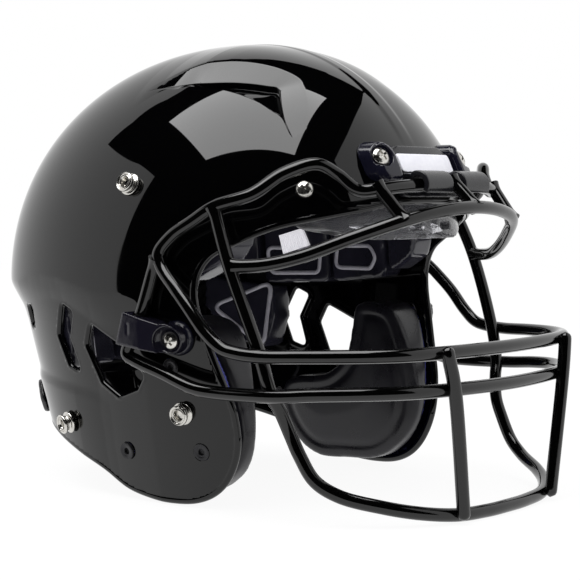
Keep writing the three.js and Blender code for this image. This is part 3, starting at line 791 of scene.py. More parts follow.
def across_middle(line, end, xs):
    """Points in the middle of the wall over the middle of the brow (end -1) or of the neck (end 1), at the
    given xs and on the side view's line of (y, z) points."""
    z = np.full_like(xs, FIRST_GUESS[end])
    for _ in range(8):
        points, _normals = on_form(x=xs, z=z, sign=end, offset=-WALL / 2)
        z = np.interp(points[:, 1], line[:, 0], line[:, 1])
    return on_form(x=xs, z=z, sign=end, offset=-WALL / 2)[0]


def flank(outline, sign):
    """Points in the middle of the wall along one side, as far as across_middle takes over."""
    y = outline[:, 0]
    points = on_form(y=y, z=outline[:, 1], sign=sign, offset=-WALL / 2)[0]
    ends = np.where(y < -FLAP_REACH, MIDDLE_SPAN[-1], np.where(y > FLAP_REACH, MIDDLE_SPAN[1], 0))
    return points[(np.abs(points[:, 0]) > ends) & (y > -135) & (y < 165)]


def edge_path(inset):
    """The shell's lower edge all the way round, in the middle of the wall, with the face's normals."""
    outline = shrunk(shell_edge(), inset)[:-2]
    brow = outline[:len(spline(BROW_LINE, 1.0))]
    neck = outline[-len(spline(NECK_EDGE, 1.0)):]
    front = across_middle(brow, -1, np.arange(-MIDDLE_SPAN[-1] + 1, MIDDLE_SPAN[-1], 1.0))
    rear = across_middle(neck, 1, np.arange(MIDDLE_SPAN[1] - 1, -MIDDLE_SPAN[1], -1.0))
    loop = np.vstack([front, flank(outline, 1), rear, flank(outline, -1)[::-1]])
    return loop, form_normals(loop)


def vent_path(outline, sign):
    return on_form(y=outline[:, 0], z=outline[:, 1], sign=sign, offset=-WALL / 2)


def rim(name, path, radius):
    """A rounded edge: a tube in the middle of the wall."""
    points, normals = path
    points = points + normals * relief_of(points)[:, None]
    return sweep(name, points, radius, sides=24, closed=True, ups=normals), points


# ---------------------------------------------------------------- shell

# Seats of the screws and studs, as (y, z) of the side view.
CHIN_SNAPS = {"upper": (11.5, 175.9), "front": (-25.2, 52.9), "rear": (69.2, 39.7)}
JAW_SCREWS = {"front": (-33.4, 31.9), "rear": (19.2, 28)}
EAR_SCREW = (-20.4, 77.8)
SIDE_CLIP_SCREW = (-27.5, 94.3)
BROW_SCREW = (-84.5, 172.8)
CLIP_SCREW_X = 36.5
CLIP_SCREW_Z = 187.0
SCREW_HOLE = 2.9
HOLES = {                  # radius: seats
    3.1: tuple(CHIN_SNAPS.values()), 5.2: (*JAW_SCREWS.values(), EAR_SCREW), 5.0: (SIDE_CLIP_SCREW,),
    SCREW_HOLE: (BROW_SCREW,),
}


def front_seat(sign):
    points, normals = on_form(x=sign * CLIP_SCREW_X, z=CLIP_SCREW_Z, sign=-1)
    return points[0], normals[0]


def hole(seat, radius):
    reach = 12
    return turned("hole", ((0, -reach), (radius, -reach), (radius, reach), (0, reach)), seat, 0, 32)


def make_shell():
    shell = head_form("shell_gloss", 0, SHELL_GRID, -22, relief_of)
    cavity = head_form("cavity", -WALL, CAVITY_GRID, LOW_FLOOR, hood_hollow)
    combined(shell, [cavity], "DIFFERENCE")
    combined(shell, [prism("edge", shrunk(shell_edge(), RIM), -150, 150)], "INTERSECT")
    paths = [(edge_path(RIM), EDGE_RIM)]
    cuts = []
    for outline in (EAR_OPENING, CHEVRON_VENT, REAR_VENT):
        loop = shrunk(rounded(outline, 2.6), -RIM)
        for _name, sign in SIDES:
            cuts.append(prism("vent", loop, *sorted((sign * 40, sign * 150))))
            paths.append((vent_path(loop, sign), VENT_RIM))
    for _name, sign in SIDES:
        for radius, places in HOLES.items():
            cuts += [hole(seat_at(sign, *place), radius) for place in places]
        cuts += [hole(front_seat(sign), SCREW_HOLE), hood_cutter(sign)]
    tubes, lines = zip(*(rim("rim", path, radius) for path, radius in paths))
    combined(shell, cuts, "DIFFERENCE")
    combined(shell, tubes, "UNION")
    set_shell_normals(shell, [(line, radius) for line, (_path, radius) in zip(lines, paths)])
    finished(shell, "helmet", "shell", "shell_black", "shell")


NEAR_FACE = 0.25           # how close a point lies to what it belongs to
NEAR_INNER_FACE = 0.6
NEAR_TUBE = 0.6
ON_TUBE = 0.05
FORM_SIZE = 118.0          # the form's mean reach


def set_shell_normals(shell, rims):
    """Exact normals: the face's own on the outer and inner face, and the tube's on the rounded edges.
    rims holds a line of points and a radius for each tube."""
    mesh = shell.data
    p = places_of(mesh)
    height = form_height(p)
    made = np.zeros_like(p)
    slope = unit(gradient(lambda q: form_height_fast(q) - relief_of(q), p, 0.35))
    outer = np.abs(height - relief_of(p)) < NEAR_FACE
    made[outer] = slope[outer]
    inner = height < NEAR_INNER_FACE - WALL + hood_hollow(p)
    made[inner] = -form_normals(p)[inner]
    set_rim_normals(made, p, np.nonzero(np.abs(height) < WALL * 3)[0], rims)
    shade_smooth(mesh)
    mesh.normals_split_custom_set_from_vertices(made.tolist())


def set_rim_normals(made, p, chosen, rims):
    """Points that lie on a tube get the tube's own normal."""
    centres = np.vstack([line for line, _radius in rims])
    radii = np.concatenate([np.full(len(line), radius) for line, radius in rims])
    tangents = np.vstack([loop_tangents(line) for line, _radius in rims])
    tree = kdtree.KDTree(len(centres))
    for i, centre in enumerate(centres):
        tree.insert(centre, i)
    tree.balance()
    for i in chosen:
        _place, j, far = tree.find(p[i])
        if far > radii[j] + NEAR_TUBE:
            continue
        arm = p[i] - centres[j]
        arm -= (arm @ tangents[j]) * tangents[j]
        length = np.linalg.norm(arm)
        if abs(length - radii[j]) < ON_TUBE:
            made[i] = arm / length


def form_height_fast(p):
    """Height over the form, nearly, with one size for the whole form."""
    return (form_value(p) ** (1 / DOME_POWER) - 1) * FORM_SIZE


# ---------------------------------------------------------------- building blocks for the pieces

GAP = 0.35                 # between pieces that touch
PIVOT = (-125.2, 175.6)    # (y, z) of the line the mask turns about
BUMPER_THICKNESS = 5.0


def arc(centre, radius, start, end, count=32):
    turn = np.linspace(start, end, count)
    return [(centre[0] + radius * math.cos(t), centre[1] + radius * math.sin(t)) for t in turn]


def cut(obj, *cutters):
    """Cuts with one solid after another; these may overlap."""
    for cutter in cutters:
        combined(obj, [cutter], "DIFFERENCE")
    return obj


def envelope(offset):
    """The room inside the shell's outer face, or inside one offset from it."""
    return head_form("envelope", offset, ROUGH_GRID, -30)


def layer(name, low, high, cutter):
    """The part of a layer between two offsets from the shell's face that lies in a prism."""
    made = head_form(name, high, LAYER_GRID, -28)
    cut(made, head_form("core", low, LAYER_GRID, LOW_FLOOR))
    return combined(made, [cutter], "INTERSECT")


def dome(radius, base, height):
    """Profile points of a domed top from its rim to the axis."""
    turn = np.linspace(0, math.pi / 2, 8)
    return [(radius * math.cos(t), base + (height - base) * math.sin(t)) for t in turn[:-1]] + [(0, height)]


def box(name, size, place=(0, 0, 0)):
    x, y, z = (s / 2 for s in size)
    outline = [(place[0] + i * x, place[1] + j * y) for i, j in ((-1, -1), (1, -1), (1, 1), (-1, 1))]
    return prism(name, outline, place[2] - z, place[2] + z, "Z")


def cross_screw(name, seat, lift, head, height, shank, length, spin):
    """A dome-headed screw with a cross recess; head and shank are radii."""
    profile = [(0, -length), (shank - 0.5, -length), (shank, 0.6 - length), (shank, 0), (head - 0.3, 0),
               (head, 0.3)] + dome(head, 0.6, height)
    made = turned(name, profile, sides=56)
    for quarter in (0, math.pi / 2):
        slot = box("slot", (head * 1.15, 1.25, 3.0), (0, 0, height))
        slot.data.transform(Matrix.Rotation(spin + quarter, 4, "Z"))
        cut(made, slot)
    point = [(0, height - 2.2), (0.9, height - 1.0), (1.35, height + 1), (0, height + 1)]
    cut(made, turned("point", point, sides=24))
    return smoothed(stand(made, seat, lift), 32)


# ---------------------------------------------------------------- facemask

WIRE = 3.6
FLARE = 1.32               # how much a bar thickens into its weld
FLARE_LENGTH = 6.0

# Half bars run from the middle plane out to the wearer's right.
UPPER_HALF = (
    (0, -126.3, 176.2), (-28, -124.6, 175.3), (-46, -121.5, 174.2), (-57, -117.6, 173),
    (-64.7, -111.5, 172.6), (-71.7, -103.4, 180.5), (-81, -97, 185.9), (-96, -86.5, 181),
    (-108, -75.8, 170.6), (-114, -54.3, 163.8), (-116.5, -42, 156.5), (-118.5, -28.7, 148.2),
    (-120.5, -21.5, 139), (-121.5, -24, 132.5), (-123.5, -36, 121), (-124.3, -47, 110.2),
    (-123.5, -57.5, 98.5), (-122, -66.5, 91.5), (-120.7, -76, 89.2), (-118.5, -89.4, 88.3),
    (-112.5, -110.3, 88.8), (-101, -132.8, 89.3), (-83, -150.2, 89.5), (-58, -159.3, 89.6),
    (0, -164.6, 89.6),
)
LOWER_LOOP_HALF = (
    (-120.8, -20.5, 136.5), (-120.3, -17, 129), (-120.3, -8.5, 106.9), (-120.3, 0, 90.5), (-120.3, 2, 84.5),
    (-120, -5, 81), (-118.5, -22, 75.5), (-117.4, -41.9, 69), (-116.6, -54, 67.5), (-115.5, -94.4, 68),
    (-110, -115, 69.6), (-101, -133.3, 70.4), (-81.8, -150.6, 70.5), (-56, -160.7, 70.5), (0, -166.4, 70.2),
)
UPRIGHT_AND_CHIN_HALF = (
    (-114, -54.5, 163.5), (-117, -67.6, 133.5), (-112.8, -84.8, 87), (-109.8, -89.5, 67.6),
    (-105.5, -91.5, 60), (-101, -95, 47), (-99.5, -100, 36), (-97, -107.8, 23.5), (-91, -119, 16),
    (-78, -137, 10.5), (-64, -149.5, 7), (-44.4, -159.4, 4.4), (-20, -163.2, 3.6), (0, -164, 3.6),
)
BROW_HALF = (
    (0, -143.2, 163.6), (-30, -140.3, 161.6), (-53.7, -133.2, 157), (-77.5, -115.9, 147.7),
    (-96.2, -97.9, 138.5), (-108.5, -84, 134.4), (-116.5, -69, 133.4),
)
UPRIGHT = ((-60.6, -164.4, 93.5), (-59.8, -164.8, 88), (-55.7, -166, 71.1), (-44.4, -164.8, 2))
STRUT = ((-57, -117.5, 175.5), (-53.7, -133.6, 156.6))
MIDDLE_STRUT = ((0, -127, 178.6), (0, -143.8, 162.9))


def mirrored(line):
    return [(-x, y, z) for x, y, z in line]


def across(half):
    """A whole bar from its half, from the wearer's right to the left."""
    right = list(half[::-1]) if half[0][0] == 0 else list(half)
    return right[:-1] + mirrored(right[::-1])


def bar(line, closed=False, ends="flared"):
    """A bar of the mask; its ends flare into their welds or are rounded off."""
    path = spline(line, 1.4, closed)
    if closed:
        return sweep("bar", path, WIRE, sides=30, closed=True)
    run = np.concatenate([[0], np.cumsum(np.linalg.norm(np.diff(path, axis=0), axis=1))])
    from_end = np.minimum(run, run[-1] - run)
    if ends == "flared":
        radius = WIRE * (1 + (FLARE - 1) * np.clip(1 - from_end / FLARE_LENGTH, 0, 1) ** 2)
    else:
        radius = WIRE * np.sqrt(np.clip(1 - (1 - np.clip(from_end / WIRE, 0, 1)) ** 2, 0.01, 1))
    return sweep("bar", path, radius, sides=30)


def make_facemask():
    """One welded cage: a closed ring over the face, a lower loop, a chin bar, a brow bar and uprights."""
    mask = bar(mirrored(UPPER_HALF[-2:0:-1]) + list(UPPER_HALF), closed=True)
    mask.name = "facemask_bars"
    bars = [bar(across(half)) for half in (LOWER_LOOP_HALF, UPRIGHT_AND_CHIN_HALF, BROW_HALF)]
    for line in (UPRIGHT, mirrored(UPRIGHT)):
        bars.append(bar(line, ends="round"))
    bars += [bar(line) for line in (STRUT, mirrored(STRUT), MIDDLE_STRUT)]
    for piece in bars:
        combined(mask, [piece], "UNION")
    smoothed(mask, 42)
    finished(mask, "mask", "wire", "bar_coating", "facemask")


# ---------------------------------------------------------------- forehead: bumper, plate, clips and hooks

FRONT_SPAN = (-160, -60)   # y that a front view's prism runs through
BUMPER_OUTLINE = (
    (-27, 169), (27, 169), (27.5, 176), (27.5, 193), (20, 197), (-20, 197), (-27.5, 193), (-27.5, 176),
)
PLATE_OUTLINE = ((-25, 182.7), (25, 182.7), (25, 192.6), (-25, 192.6))
REAR_BUMPER_OUTLINE = ((-66, 38), (66, 38), (69, 47), (64, 57), (-64, 57), (-69, 47))
PLATE_HEIGHT = 6.7         # over the shell
CLIP_INNER_X = 29.0
CLIP_OUTER_X = 44.4
CLIP_FOOT = 177.5
CLIP_TOP = 198.8
CLIP_HEIGHT = 10.5         # of a clip over the shell
CLIP_ROUND = 2.4           # of its top edge, in steps of (under the top, in from the outline)
CLIP_ROUNDING = ((1.2, 0.6), (0.4, 1.5), (0, CLIP_ROUND))
RECESS_DEPTH = 1.9         # of the step round the screw
RECESS_INSET = 2.8
CLIP_SCREW_LIFT = 7.5
HOOK_BORE = 5.2            # radius of a tongue's inner face about the mask's top bar
HOOK_THICKNESS = 2.6
HOOK_INNER_X = 6.0
HOOK_OUTER_X = 31.0
CLIP_WELL_PROFILE = ((0, 0), (5.9, 0), (6.5, 0.9), (6.5, 30), (0, 30))


def make_bumpers():
    front = layer("front_bumper_body", GAP, BUMPER_THICKNESS,
                  prism("cutter", rounded(BUMPER_OUTLINE, 2.5), *FRONT_SPAN, "Y"))
    finished(moulded(front, 0.6, 8), "helmet", "dark", "dark_plastic", "front_bumper")
    plate = layer("blank_plate", BUMPER_THICKNESS + GAP, PLATE_HEIGHT,
                  prism("cutter", rounded(PLATE_OUTLINE, 1.8, 0.5), *FRONT_SPAN, "Y"))
    finished(moulded(plate, 0.35, 5), "helmet", "plate", "plate_white", "nameplate")
    rear = layer("rear_bumper_body", GAP, 3.4,
                 prism("cutter", rounded(REAR_BUMPER_OUTLINE, 4), 60, 200, "Y"))
    finished(moulded(rear, 0.8, 8), "helmet", "dark", "dark_plastic", "rear_bumper")


def clip_prism(sign, inset):
    """Front view of a forehead clip: a block with a round top, rounder on its outer side."""
    low, high, foot, top = CLIP_INNER_X + inset, CLIP_OUTER_X - inset, CLIP_FOOT + inset, CLIP_TOP - inset
    turns = (((low, foot), 2.5), ((high, foot), 4.5), ((high, top), 9.6), ((low, top), 5.6))
    points = []
    for (x, z), radius in turns:
        way = np.array([(low + high) / 2, (foot + top) / 2]) - (x, z)
        centre = np.array([x, z]) + np.sign(way) * radius
        start = math.atan2(-np.sign(way[1]), -np.sign(way[0])) - math.pi / 4
        points += arc(centre, radius, start, start + math.pi / 2, 12)
    return prism("cutter", np.array(points) * (sign, 1), *FRONT_SPAN, "Y")


def hook_outline():
    """Side view of a tongue of the bumper that reaches over the top bar."""
    outer = arc(PIVOT, HOOK_BORE + HOOK_THICKNESS, 0.9, 3.75)
    inner = arc(PIVOT, HOOK_BORE - 0.6, 3.75, 1.15)
    return outer + inner + [(-100, 176.8), (-100, 183)]


def hook_plan(sign):
    """Top view of a tongue, with round front corners and a narrower root."""
    low, high = HOOK_INNER_X, HOOK_OUTER_X
    corners = ((low, -136), (high, -136), (high, -122), (high - 5, -116), (high - 5, -95), (low + 3, -95),
               (low + 3, -116), (low, -122))
    return rounded(corners, 3.0) * (sign, 1)


def clearance(height, cutter):
    """The room over the shell up to a height, with a gap over it, that lies in a prism."""
    return combined(envelope(height + GAP), [cutter], "INTERSECT")


def make_front_clip(name, sign):
    seat = front_seat(sign)
    clip = layer(f"clip_body_{name}", GAP, CLIP_HEIGHT - CLIP_ROUND, clip_prism(sign, 0))
    steps = [layer("round", GAP, CLIP_HEIGHT - down, clip_prism(sign, inset))
             for down, inset in CLIP_ROUNDING]
    combined(clip, steps, "UNION")
    step = layer("step", CLIP_HEIGHT - RECESS_DEPTH, CLIP_HEIGHT + 6, clip_prism(sign, RECESS_INSET))
    well = turned("well", CLIP_WELL_PROFILE, seat, CLIP_SCREW_LIFT - GAP)
    cut(clip, hole(seat, SCREW_HOLE), step, well)
    finished(moulded(clip, 0.45, 6), "helmet", "clip", "smoked_plastic", f"front_clip_{name}")
    screw = cross_screw(f"clip_screw_{name}", seat, CLIP_SCREW_LIFT, 5.3, 3.0, 2.4, 14.5, 0.5 + sign * 0.3)
    finished(screw, "helmet", "chrome", "bright_metal", f"front_clip_screw_{name}")


def make_bar_hook(name, sign):
    hook = prism(f"hook_{name}", hook_outline(), *sorted((sign * HOOK_INNER_X, sign * HOOK_OUTER_X)))
    combined(hook, [prism("trim", hook_plan(sign), 150, 200, "Z")], "INTERSECT")
    beside = prism("cutter", ((-160, 170), (-60, 170), (-60, 230), (-160, 230)),
                   *sorted((sign * (CLIP_INNER_X - GAP), sign * 60)))
    middle = (PLATE_OUTLINE[0][1] + PLATE_OUTLINE[2][1]) / 2
    plate = [(x * 1.03, z - 0.4 * math.copysign(1, middle - z)) for x, z in PLATE_OUTLINE]
    plate = prism("cutter", plate, *FRONT_SPAN, "Y")
    cut(hook, envelope(BUMPER_THICKNESS + GAP))
    cut(hook, clearance(PLATE_HEIGHT - 0.1, plate), clearance(CLIP_HEIGHT, beside))
    finished(moulded(hook, 0.45, 8), "helmet", "dark", "dark_plastic", f"bar_hook_{name}")


# ---------------------------------------------------------------- side clips

SIDE_CLIP_REAR_X = 128.2   # outer face where the clip holds the bar
SIDE_CLIP_NOSE_X = 124.6   # and at its nose
SIDE_HEAD_LIFT = 7.8       # of the screw's head over the shell
SPACER_HEIGHT = 4.0
SIDE_BAR_X = 120.3         # of the mask's bar that runs through the clip
SIDE_BAR = ((-17, 129), (-8.5, 106.9), (0, 90.5), (4, 80))
SIDE_CLIP_RIBS = (-18.5, -14.5, -5.5)   # y of the shallow slots in its outer face
SPACER_ROOM = ((0, -9), (11.3, -9), (11.3, GAP), (9.3, SPACER_HEIGHT + GAP), (0, SPACER_HEIGHT + GAP))
SPACER_PROFILE = ((2.9, GAP), (9.6, GAP), (9.7, 0.9), (8.5, SPACER_HEIGHT - 0.4), (8.1, SPACER_HEIGHT),
                  (2.9, SPACER_HEIGHT))
T_NUT_PROFILE = ((0, -6.9), (7.6, -6.9), (8, -6.5), (8, -5.6), (7.7, -5.3), (4.4, -5.3), (4.4, -1.2),
                 (4.2, -1), (0, -1))
SIDE_WELL_PROFILE = ((0, 0), (5.3, 0), (5.8, 0.7), (8.0, 3.5), (8.0, 30), (0, 30))


def side_clip_outline():
    """Side view: from behind the bar forward to a round nose over the screw."""
    return [(-1.5, 107.9), (-24, 102.3)] + arc((-28, 94.1), 8.3, 1.25, 4.5) + [(3.5, 90.2)]


def side_clip_plan(sign):
    """Top view: the outer face draws in towards the nose."""
    rear, nose = SIDE_CLIP_REAR_X, SIDE_CLIP_NOSE_X
    corners = ((100, -45), (nose - 7, -45), (nose - 4.6, -36.5), (nose - 1.3, -34), (nose, -30.5),
               (rear, -14), (rear, 10), (100, 10))
    return np.array(corners) * (sign, 1)


def make_side_clip(name, sign):
    seat = seat_at(sign, *SIDE_CLIP_SCREW)
    low, high = sorted((sign * 100, sign * SIDE_CLIP_REAR_X))
    clip = prism(f"side_clip_body_{name}", side_clip_outline(), low, high)
    combined(clip, [prism("plan", side_clip_plan(sign), 70, 120, "Z")], "INTERSECT")
    channel = spline([(sign * SIDE_BAR_X, y, z) for y, z in SIDE_BAR], 2)
    cut(clip, envelope(1.2), sweep("channel", channel, WIRE + 0.9, sides=32))
    cut(clip, turned("well", SIDE_WELL_PROFILE, seat, SIDE_HEAD_LIFT - GAP), hole(seat, SCREW_HOLE))
    cut(clip, turned("room", SPACER_ROOM, seat), box("under", (40, 40, 20), (sign * 120, 10, 76)))
    for y in SIDE_CLIP_RIBS:
        cut(clip, box("recess", (0.4, 1.6, 5.5), (sign * SIDE_CLIP_REAR_X, y, 98.3 - y * 0.1)))
    finished(moulded(clip, 0.45, 5), "mask", "smoke", "smoked_plastic", f"side_clip_{name}")
    screw = cross_screw(f"side_screw_{name}", seat, SIDE_HEAD_LIFT, 4.8, 2.8, 2.4, 7.4, 0.9)
    finished(screw, "mask", "chrome", "bright_metal", f"side_clip_screw_{name}")
    spacer = cut(turned(f"spacer_{name}", SPACER_PROFILE, seat), envelope(GAP))
    finished(smoothed(spacer), "mask", "clip", "smoked_plastic", f"side_spacer_{name}")
    nut = turned(f"t_nut_{name}", T_NUT_PROFILE, seat)
    finished(smoothed(nut), "helmet", "chrome", "bright_metal", f"side_nut_{name}")


# ---------------------------------------------------------------- snaps, screws and nuts

SNAP_PROFILE = (
    (0, -6), (2.6, -6), (2.6, GAP), (6.3, GAP), (6.3, 0.7), (6.0, 1.2), (5.0, 1.4), (4.5, 1.7), (4.3, 2.2),
    (4.3, 3.3), (5.0, 3.6), (5.5, 4.1), (5.6, 4.9), (5.3, 5.5), (4.8, 5.8), (4.3, 5.6), (4.1, 5.1),
    (3.8, 5.1), (3.6, 5.3), (3.2, 5.3), (2.9, 4.9), (2.5, 4.0), (2.3, 2.4), (0, 2.2),
)
FLUSH_PROFILE = (
    (0, -3.5), (2.4, -3.5), (2.4, -2.8), (4.8, -1.2), (4.8, 0), (4.5, 0.3), (3.0, 0.3), (2.7, 0.1),
    (2.0, 0.1), (1.8, -0.1), (1.6, -1.6), (0, -1.8),
)
NUT_PROFILE = ((2.75, -7.6), (5.7, -7.6), (6, -7.3), (6, -6.0), (5.7, -5.7), (2.75, -5.7))


def make_fasteners(name, sign):
    """The studs for a chin strap, the flush screws, the brow screw and the nuts inside."""
    for place, (y, z) in CHIN_SNAPS.items():
        stud = turned(f"snap_{place}_{name}", SNAP_PROFILE, seat_at(sign, y, z), sides=64)
        finished(smoothed(stud, 50), "helmet", "chrome", "bright_metal", f"chin_snap_{place}_{name}")
    flush = {f"jaw_screw_{place}_{name}": spot for place, spot in JAW_SCREWS.items()}
    flush[f"ear_screw_{name}"] = EAR_SCREW
    for node, spot in flush.items():
        screw = turned(f"flush_{node}", FLUSH_PROFILE, seat_at(sign, *spot), sides=48)
        finished(smoothed(screw), "helmet", "dark_metal", "dark_metal", node)
    brow = cross_screw(f"brow_dome_{name}", seat_at(sign, *BROW_SCREW), GAP, 4.7, 3.2, 2.4, 6, 0.2)
    finished(brow, "helmet", "chrome", "bright_metal", f"brow_screw_{name}")
    nuts = {f"front_clip_nut_{name}": front_seat(sign), f"brow_nut_{name}": seat_at(sign, *BROW_SCREW)}
    for node, seat in nuts.items():
        nut = turned(f"ring_{node}", NUT_PROFILE, seat, sides=40)
        finished(smoothed(nut), "helmet", "dark_metal", "dark_metal", node)


# ---------------------------------------------------------------- liner

LINER_OUT = -7.2           # offset of the pads' outer face from the shell's
LINER_IN = -26.0
CHANNEL = 1.5              # radius of the light ring that stands in a pod's face
RING_SINK = 0.6

SIDE_PODS = (
    ((25, 114.5), (73, 112.5), (72, 172), (52, 190), (26, 190)),
    ((-21, 119), (22, 114.5), (23, 190), (-20, 190)),
    ((-46, 133), (-24, 121), (-23, 190), (-43, 190), (-51, 175), (-51, 143)),
)
REAR_PODS = (
    ((64.5, 91), (67.5, 111), (100, 115), (111, 119), (107, 98), (93, 78), (67.5, 69)),
    ((77, 120), (112, 123), (124, 112), (122, 158), (82, 174), (77, 172)),
)
SIDE_RINGS = (
    ((70.5, 136), (68, 119.3), (32.5, 120.2), (30.5, 136)),
    ((17, 138), (19.5, 124), (-9, 124), (-13.5, 131), (-9, 138.5)),
)
REAR_RINGS = (((103, 97), (68, 113.5), (68.5, 70)),)
FRONT_PAD = ((-66, 152), (-40, 146), (40, 146), (66, 152), (66, 200), (-66, 200))
FRONT_SLOTS = (-38, -6, 26)
CROWN_ROWS = ((-42, -4), (0, 36), (40, 74))
BACK_ROWS = ((64, 100), (104, 144), (148, 188))
LABEL_CORNERS = ((38, 138), (58, 132), (60, 144), (42, 149))


def pod(name, outline, sign):
    """An air cell of the liner, drawn in the side view."""
    cutter = prism("cutter", rounded(outline, 5.0), *sorted((sign * 50, sign * 150)))
    return moulded(layer(name, LINER_IN, LINER_OUT, cutter), 1.3, 12)


def ring_on_liner(outline, sign):
    """A light raised ring on a pod's inner face, drawn in the side view."""
    loop = rounded(outline, 4.5)
    points, normals = on_form(y=loop[:, 0], z=loop[:, 1], sign=sign, offset=LINER_IN + RING_SINK)
    return sweep("ring", points, CHANNEL, sides=20, closed=True, ups=normals)


def make_side_liner(name, sign):
    for part, outlines, rings, node in (("side", SIDE_PODS, SIDE_RINGS, "side_pad"),
                                        ("rear", REAR_PODS, REAR_RINGS, "rear_side_pad")):
        whole = joined(f"{part}_pods_{name}", [pod(f"{part}_pod", outline, sign) for outline in outlines])
        finished(smoothed(whole, 80), "helmet", "liner", "liner_smoke", f"{node}_{name}")
        ring = joined(f"{part}_rings_{name}", [ring_on_liner(outline, sign) for outline in rings])
        finished(smoothed(ring), "helmet", "channel", "liner_clear")


def make_middle_liner():
    """The clear pad at the brow, and the pods at the crown and the back."""
    cutter = prism("cutter", rounded(FRONT_PAD, 7), FRONT_SPAN[0], -52, "Y")
    front = layer("front_pad_clear", LINER_IN + 3, LINER_OUT - 1, cutter)
    for x in FRONT_SLOTS:
        cut(front, box("slot", (13, 22, 3.2), (x, -98, 153)))
    finished(moulded(front, 1.0, 8), "helmet", "clear", "liner_clear", "front_pad")
    for part, rows, cutter_of in (("crown", CROWN_ROWS, crown_cutter), ("back", BACK_ROWS, back_cutter)):
        pods = [layer(f"{part}_pod", LINER_IN, LINER_OUT, cutter_of(low, high, side))
                for low, high in rows for side in (-1, 1)]
        whole = joined(f"{part}_pods", [moulded(piece, 1.8, 10) for piece in pods])
        finished(smoothed(whole, 80), "helmet", "liner", "liner_smoke", f"{part}_pad")


def crown_cutter(low, high, side):
    """Runs through the crown between two y, on one side of the middle."""
    outline = rounded(((low, 205), (low, 300), (high, 300), (high, 205)), 4)
    return prism("cutter", outline, *sorted((2 * side, 52 * side)))


def back_cutter(low, high, side):
    """Runs through the back between two heights, on one side of the middle."""
    inner, outer = sorted((2 * side, 52 * side))
    outline = rounded(((inner, low), (outer, low), (outer, high), (inner, high)), 6)
    return prism("cutter", outline, 84, 200, "Y")


LABEL_FACES = ((LINER_IN - 0.2, 0.0), (LINER_IN - 1.3, 0.45))   # offset, and height of the ribs
LABEL_RIBS = 14


def make_label():
    """A white ribbed strip on the far side's liner, its ribs running across it."""
    rows, columns = 12, 120
    u, v = np.meshgrid(np.linspace(0, 1, columns), np.linspace(0, 1, rows))
    a, b, c, d = (np.array(corner, float) for corner in LABEL_CORNERS)
    low = a + (b - a) * u[..., None]
    high = d + (c - d) * u[..., None]
    plan = (low + (high - low) * v[..., None]).reshape(-1, 2)
    faces = []
    for offset, ribs in LABEL_FACES:
        points, normals = on_form(y=plan[:, 0], z=plan[:, 1], sign=1, offset=offset)
        wave = ribs * np.sin(u.reshape(-1) * 2 * math.pi * LABEL_RIBS)
        faces.append(points - normals * wave[:, None])
    label = closed_slab("ribbed_label", np.array(faces).reshape(2, rows, columns, 3))
    finished(smoothed(label, 60), "helmet", "label", "plate_white", "size_label")


# ---------------------------------------------------------------- jaw pads

JAW_OUTLINE = (
    (-10, 102.5), (-27, 104), (-38, 99), (-47.5, 80), (-52.5, 60), (-54, 44), (-51.5, 31), (-43, 18),
    (-27, 7.5), (0, 4.5), (20, 4.5), (36, 13), (50, 36), (45, 52), (12, 59), (-2, 72), (-6, 88),
)
JAW_INNER_X = 71.0
BACKING_INSET = 3.2        # of the backing plate's edge from the cushion's
CUSHION_INSET = 0.4
BACKING_OUT = -WALL - GAP - 3.2      # offsets of the backing's faces from the shell's
BACKING_IN = BACKING_OUT - 1.6
CUSHION_OUT = BACKING_IN - 0.4
WELT_PLACE = 9.0           # from the cushion's edge
WELT_WIDTH = 2.2
WELT_DEPTH = 1.3
JAW_PIECES = {"right": "jaw_pad_r", "left": "jaw_pad_l"}


def jaw_prism(sign, inset):
    loop = spline(JAW_OUTLINE, 1.5, closed=True)
    return prism("jaw", shrunk(loop, inset), *sorted((sign * JAW_INNER_X, sign * 120)))


def make_jaw_pad(name, sign):
    body = JAW_PIECES[name]
    backing = envelope(BACKING_OUT)
    backing.name = f"backing_{name}"
    cut(backing, head_form("core", BACKING_IN, BACKING_GRID, LOW_FLOOR))
    combined(backing, [jaw_prism(sign, BACKING_INSET)], "INTERSECT")
    finished(moulded(backing, 0.7, 3), body, "backing", "backing_blue", f"jaw_pad_backing_{name}")
    cushion = envelope(CUSHION_OUT)
    cushion.name = f"cushion_{name}"
    combined(cushion, [jaw_prism(sign, CUSHION_INSET)], "INTERSECT")
    crown_jaw_pad(moulded(cushion, 1.6, 16), sign)
    finished(cushion, body, "jaw", "jaw_foam", f"jaw_pad_{name}")


def crown_jaw_pad(cushion, sign):
    """Swells the inner face into a cushion with a soft welt all round and a thinner front edge."""
    mesh = cushion.data
    p = places_of(mesh)
    loop = spline(JAW_OUTLINE, 2.0, closed=True)
    from_edge = distance_to(np.vstack([loop, loop[:1]]), p[:, 1:])
    face = np.clip((JAW_INNER_X + 12 - p[:, 0] * sign) / 12, 0, 1)
    welt = WELT_DEPTH * np.exp(-((from_edge - WELT_PLACE) / WELT_WIDTH) ** 2)
    thinning = 6.0 * np.clip((-38 - p[:, 1]) / 16, 0, 1) ** 2
    swell = 3.0 * np.clip(from_edge / 34, 0, 1) ** 0.5 - welt - thinning
    p[:, 0] -= sign * face * (swell - 1.5)
    mesh.vertices.foreach_set("co", (p * MM).reshape(-1))
    mesh.update()


# ---------------------------------------------------------------- studio

STUDIO_HEIGHT = 1300
STUDIO_REACH = 2500
PANEL = ((-473, 891), (-1104, 379), (-494, -638), (480, -215))
PANEL_LIGHT = 5.8
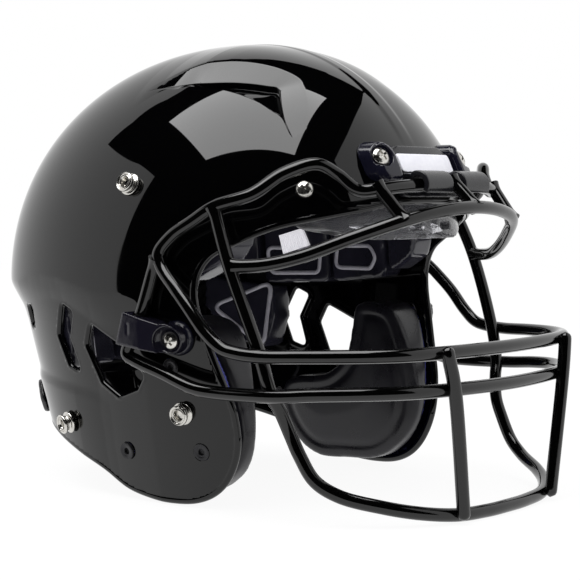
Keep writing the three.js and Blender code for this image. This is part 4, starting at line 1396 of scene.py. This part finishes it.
# Plans of the black cards that the shell reflects: the ceiling's, the wall's and the floor's.
CEILING = ((-559, 1586), (-352, 1226), (-18, 899), (618, 479), (1340, 92), (1030, -210), (416, -702),
           (-15, -1008), (-15, -2600), (-3000, -2600), (-3000, 1266), (-1397, 1266))
DARK_WALL = ((-1397, 1266), (-1900, 300), (-1900, -1200), (-900, -2000), (-15, -1600))
DARK_FLOOR = ((-1397, 1266), (-756, 600), (-570, 388), (-400, 50), (-330, -250), (-200, -700), (-15, -1600),
              (-900, -2000), (-1900, -1200), (-1900, 300))


def flat_material(name, shade, emission):
    return material(name, Base_Color=(shade, shade, shade, 1), Roughness=0.9, Specular_IOR_Level=0.0,
                    Emission_Color=(1, 1, 1, 1), Emission_Strength=emission)


def studio_piece(name, points, faces, look):
    piece = mesh_object(name, points, faces)
    piece.data.materials.append(look)
    return piece


def hidden_from(piece, *rays):
    for ray in rays:
        setattr(piece, f"visible_{ray}", False)


def make_studio():
    """A white room with a white floor, one soft panel overhead, and black cards on the camera's side."""
    world = bpy.data.worlds.new("studio")
    bpy.context.scene.world = world
    world.use_nodes = True
    world.node_tree.nodes["Background"].inputs["Color"].default_value = (1, 1, 1, 1)
    bpy.context.scene.view_settings.view_transform = "Standard"
    corners = [(x * STUDIO_REACH, y * STUDIO_REACH, 0) for x, y in ((-1, -1), (1, -1), (1, 1), (-1, 1))]
    studio_piece("floor", corners, [(0, 1, 2, 3)], flat_material("floor_white", 0.07, 0.93))
    panel = [(x, y, STUDIO_HEIGHT - 20) for x, y in PANEL]
    light = studio_piece("panel", panel, [(0, 1, 2, 3)], flat_material("panel_light", 0.0, PANEL_LIGHT))
    hidden_from(light, "camera", "shadow")
    black = flat_material("card_black", 0.0, 0.0)
    cards = [
        ("ceiling_card", [(x, y, STUDIO_HEIGHT) for x, y in CEILING], [tuple(range(len(CEILING)))]),
        ("floor_card", [(x, y, 1) for x, y in DARK_FLOOR], [tuple(range(len(DARK_FLOOR)))]),
    ]
    count = len(DARK_WALL)
    wall = [(x, y, z) for z in (1, STUDIO_HEIGHT) for x, y in DARK_WALL]
    cards.append(("wall_card", wall, [(i, i + 1, count + i + 1, count + i) for i in range(count - 1)]))
    for name, points, faces in cards:
        hidden_from(studio_piece(name, points, faces, black), "camera", "diffuse", "shadow", "transmission")


# ---------------------------------------------------------------- all the pieces

make_shell()
make_facemask()
make_bumpers()
on_both_sides(make_front_clip, make_bar_hook)
on_both_sides(make_side_clip)
on_both_sides(make_fasteners)
on_both_sides(make_side_liner)
make_middle_liner()
make_label()
on_both_sides(make_jaw_pad)
make_studio()
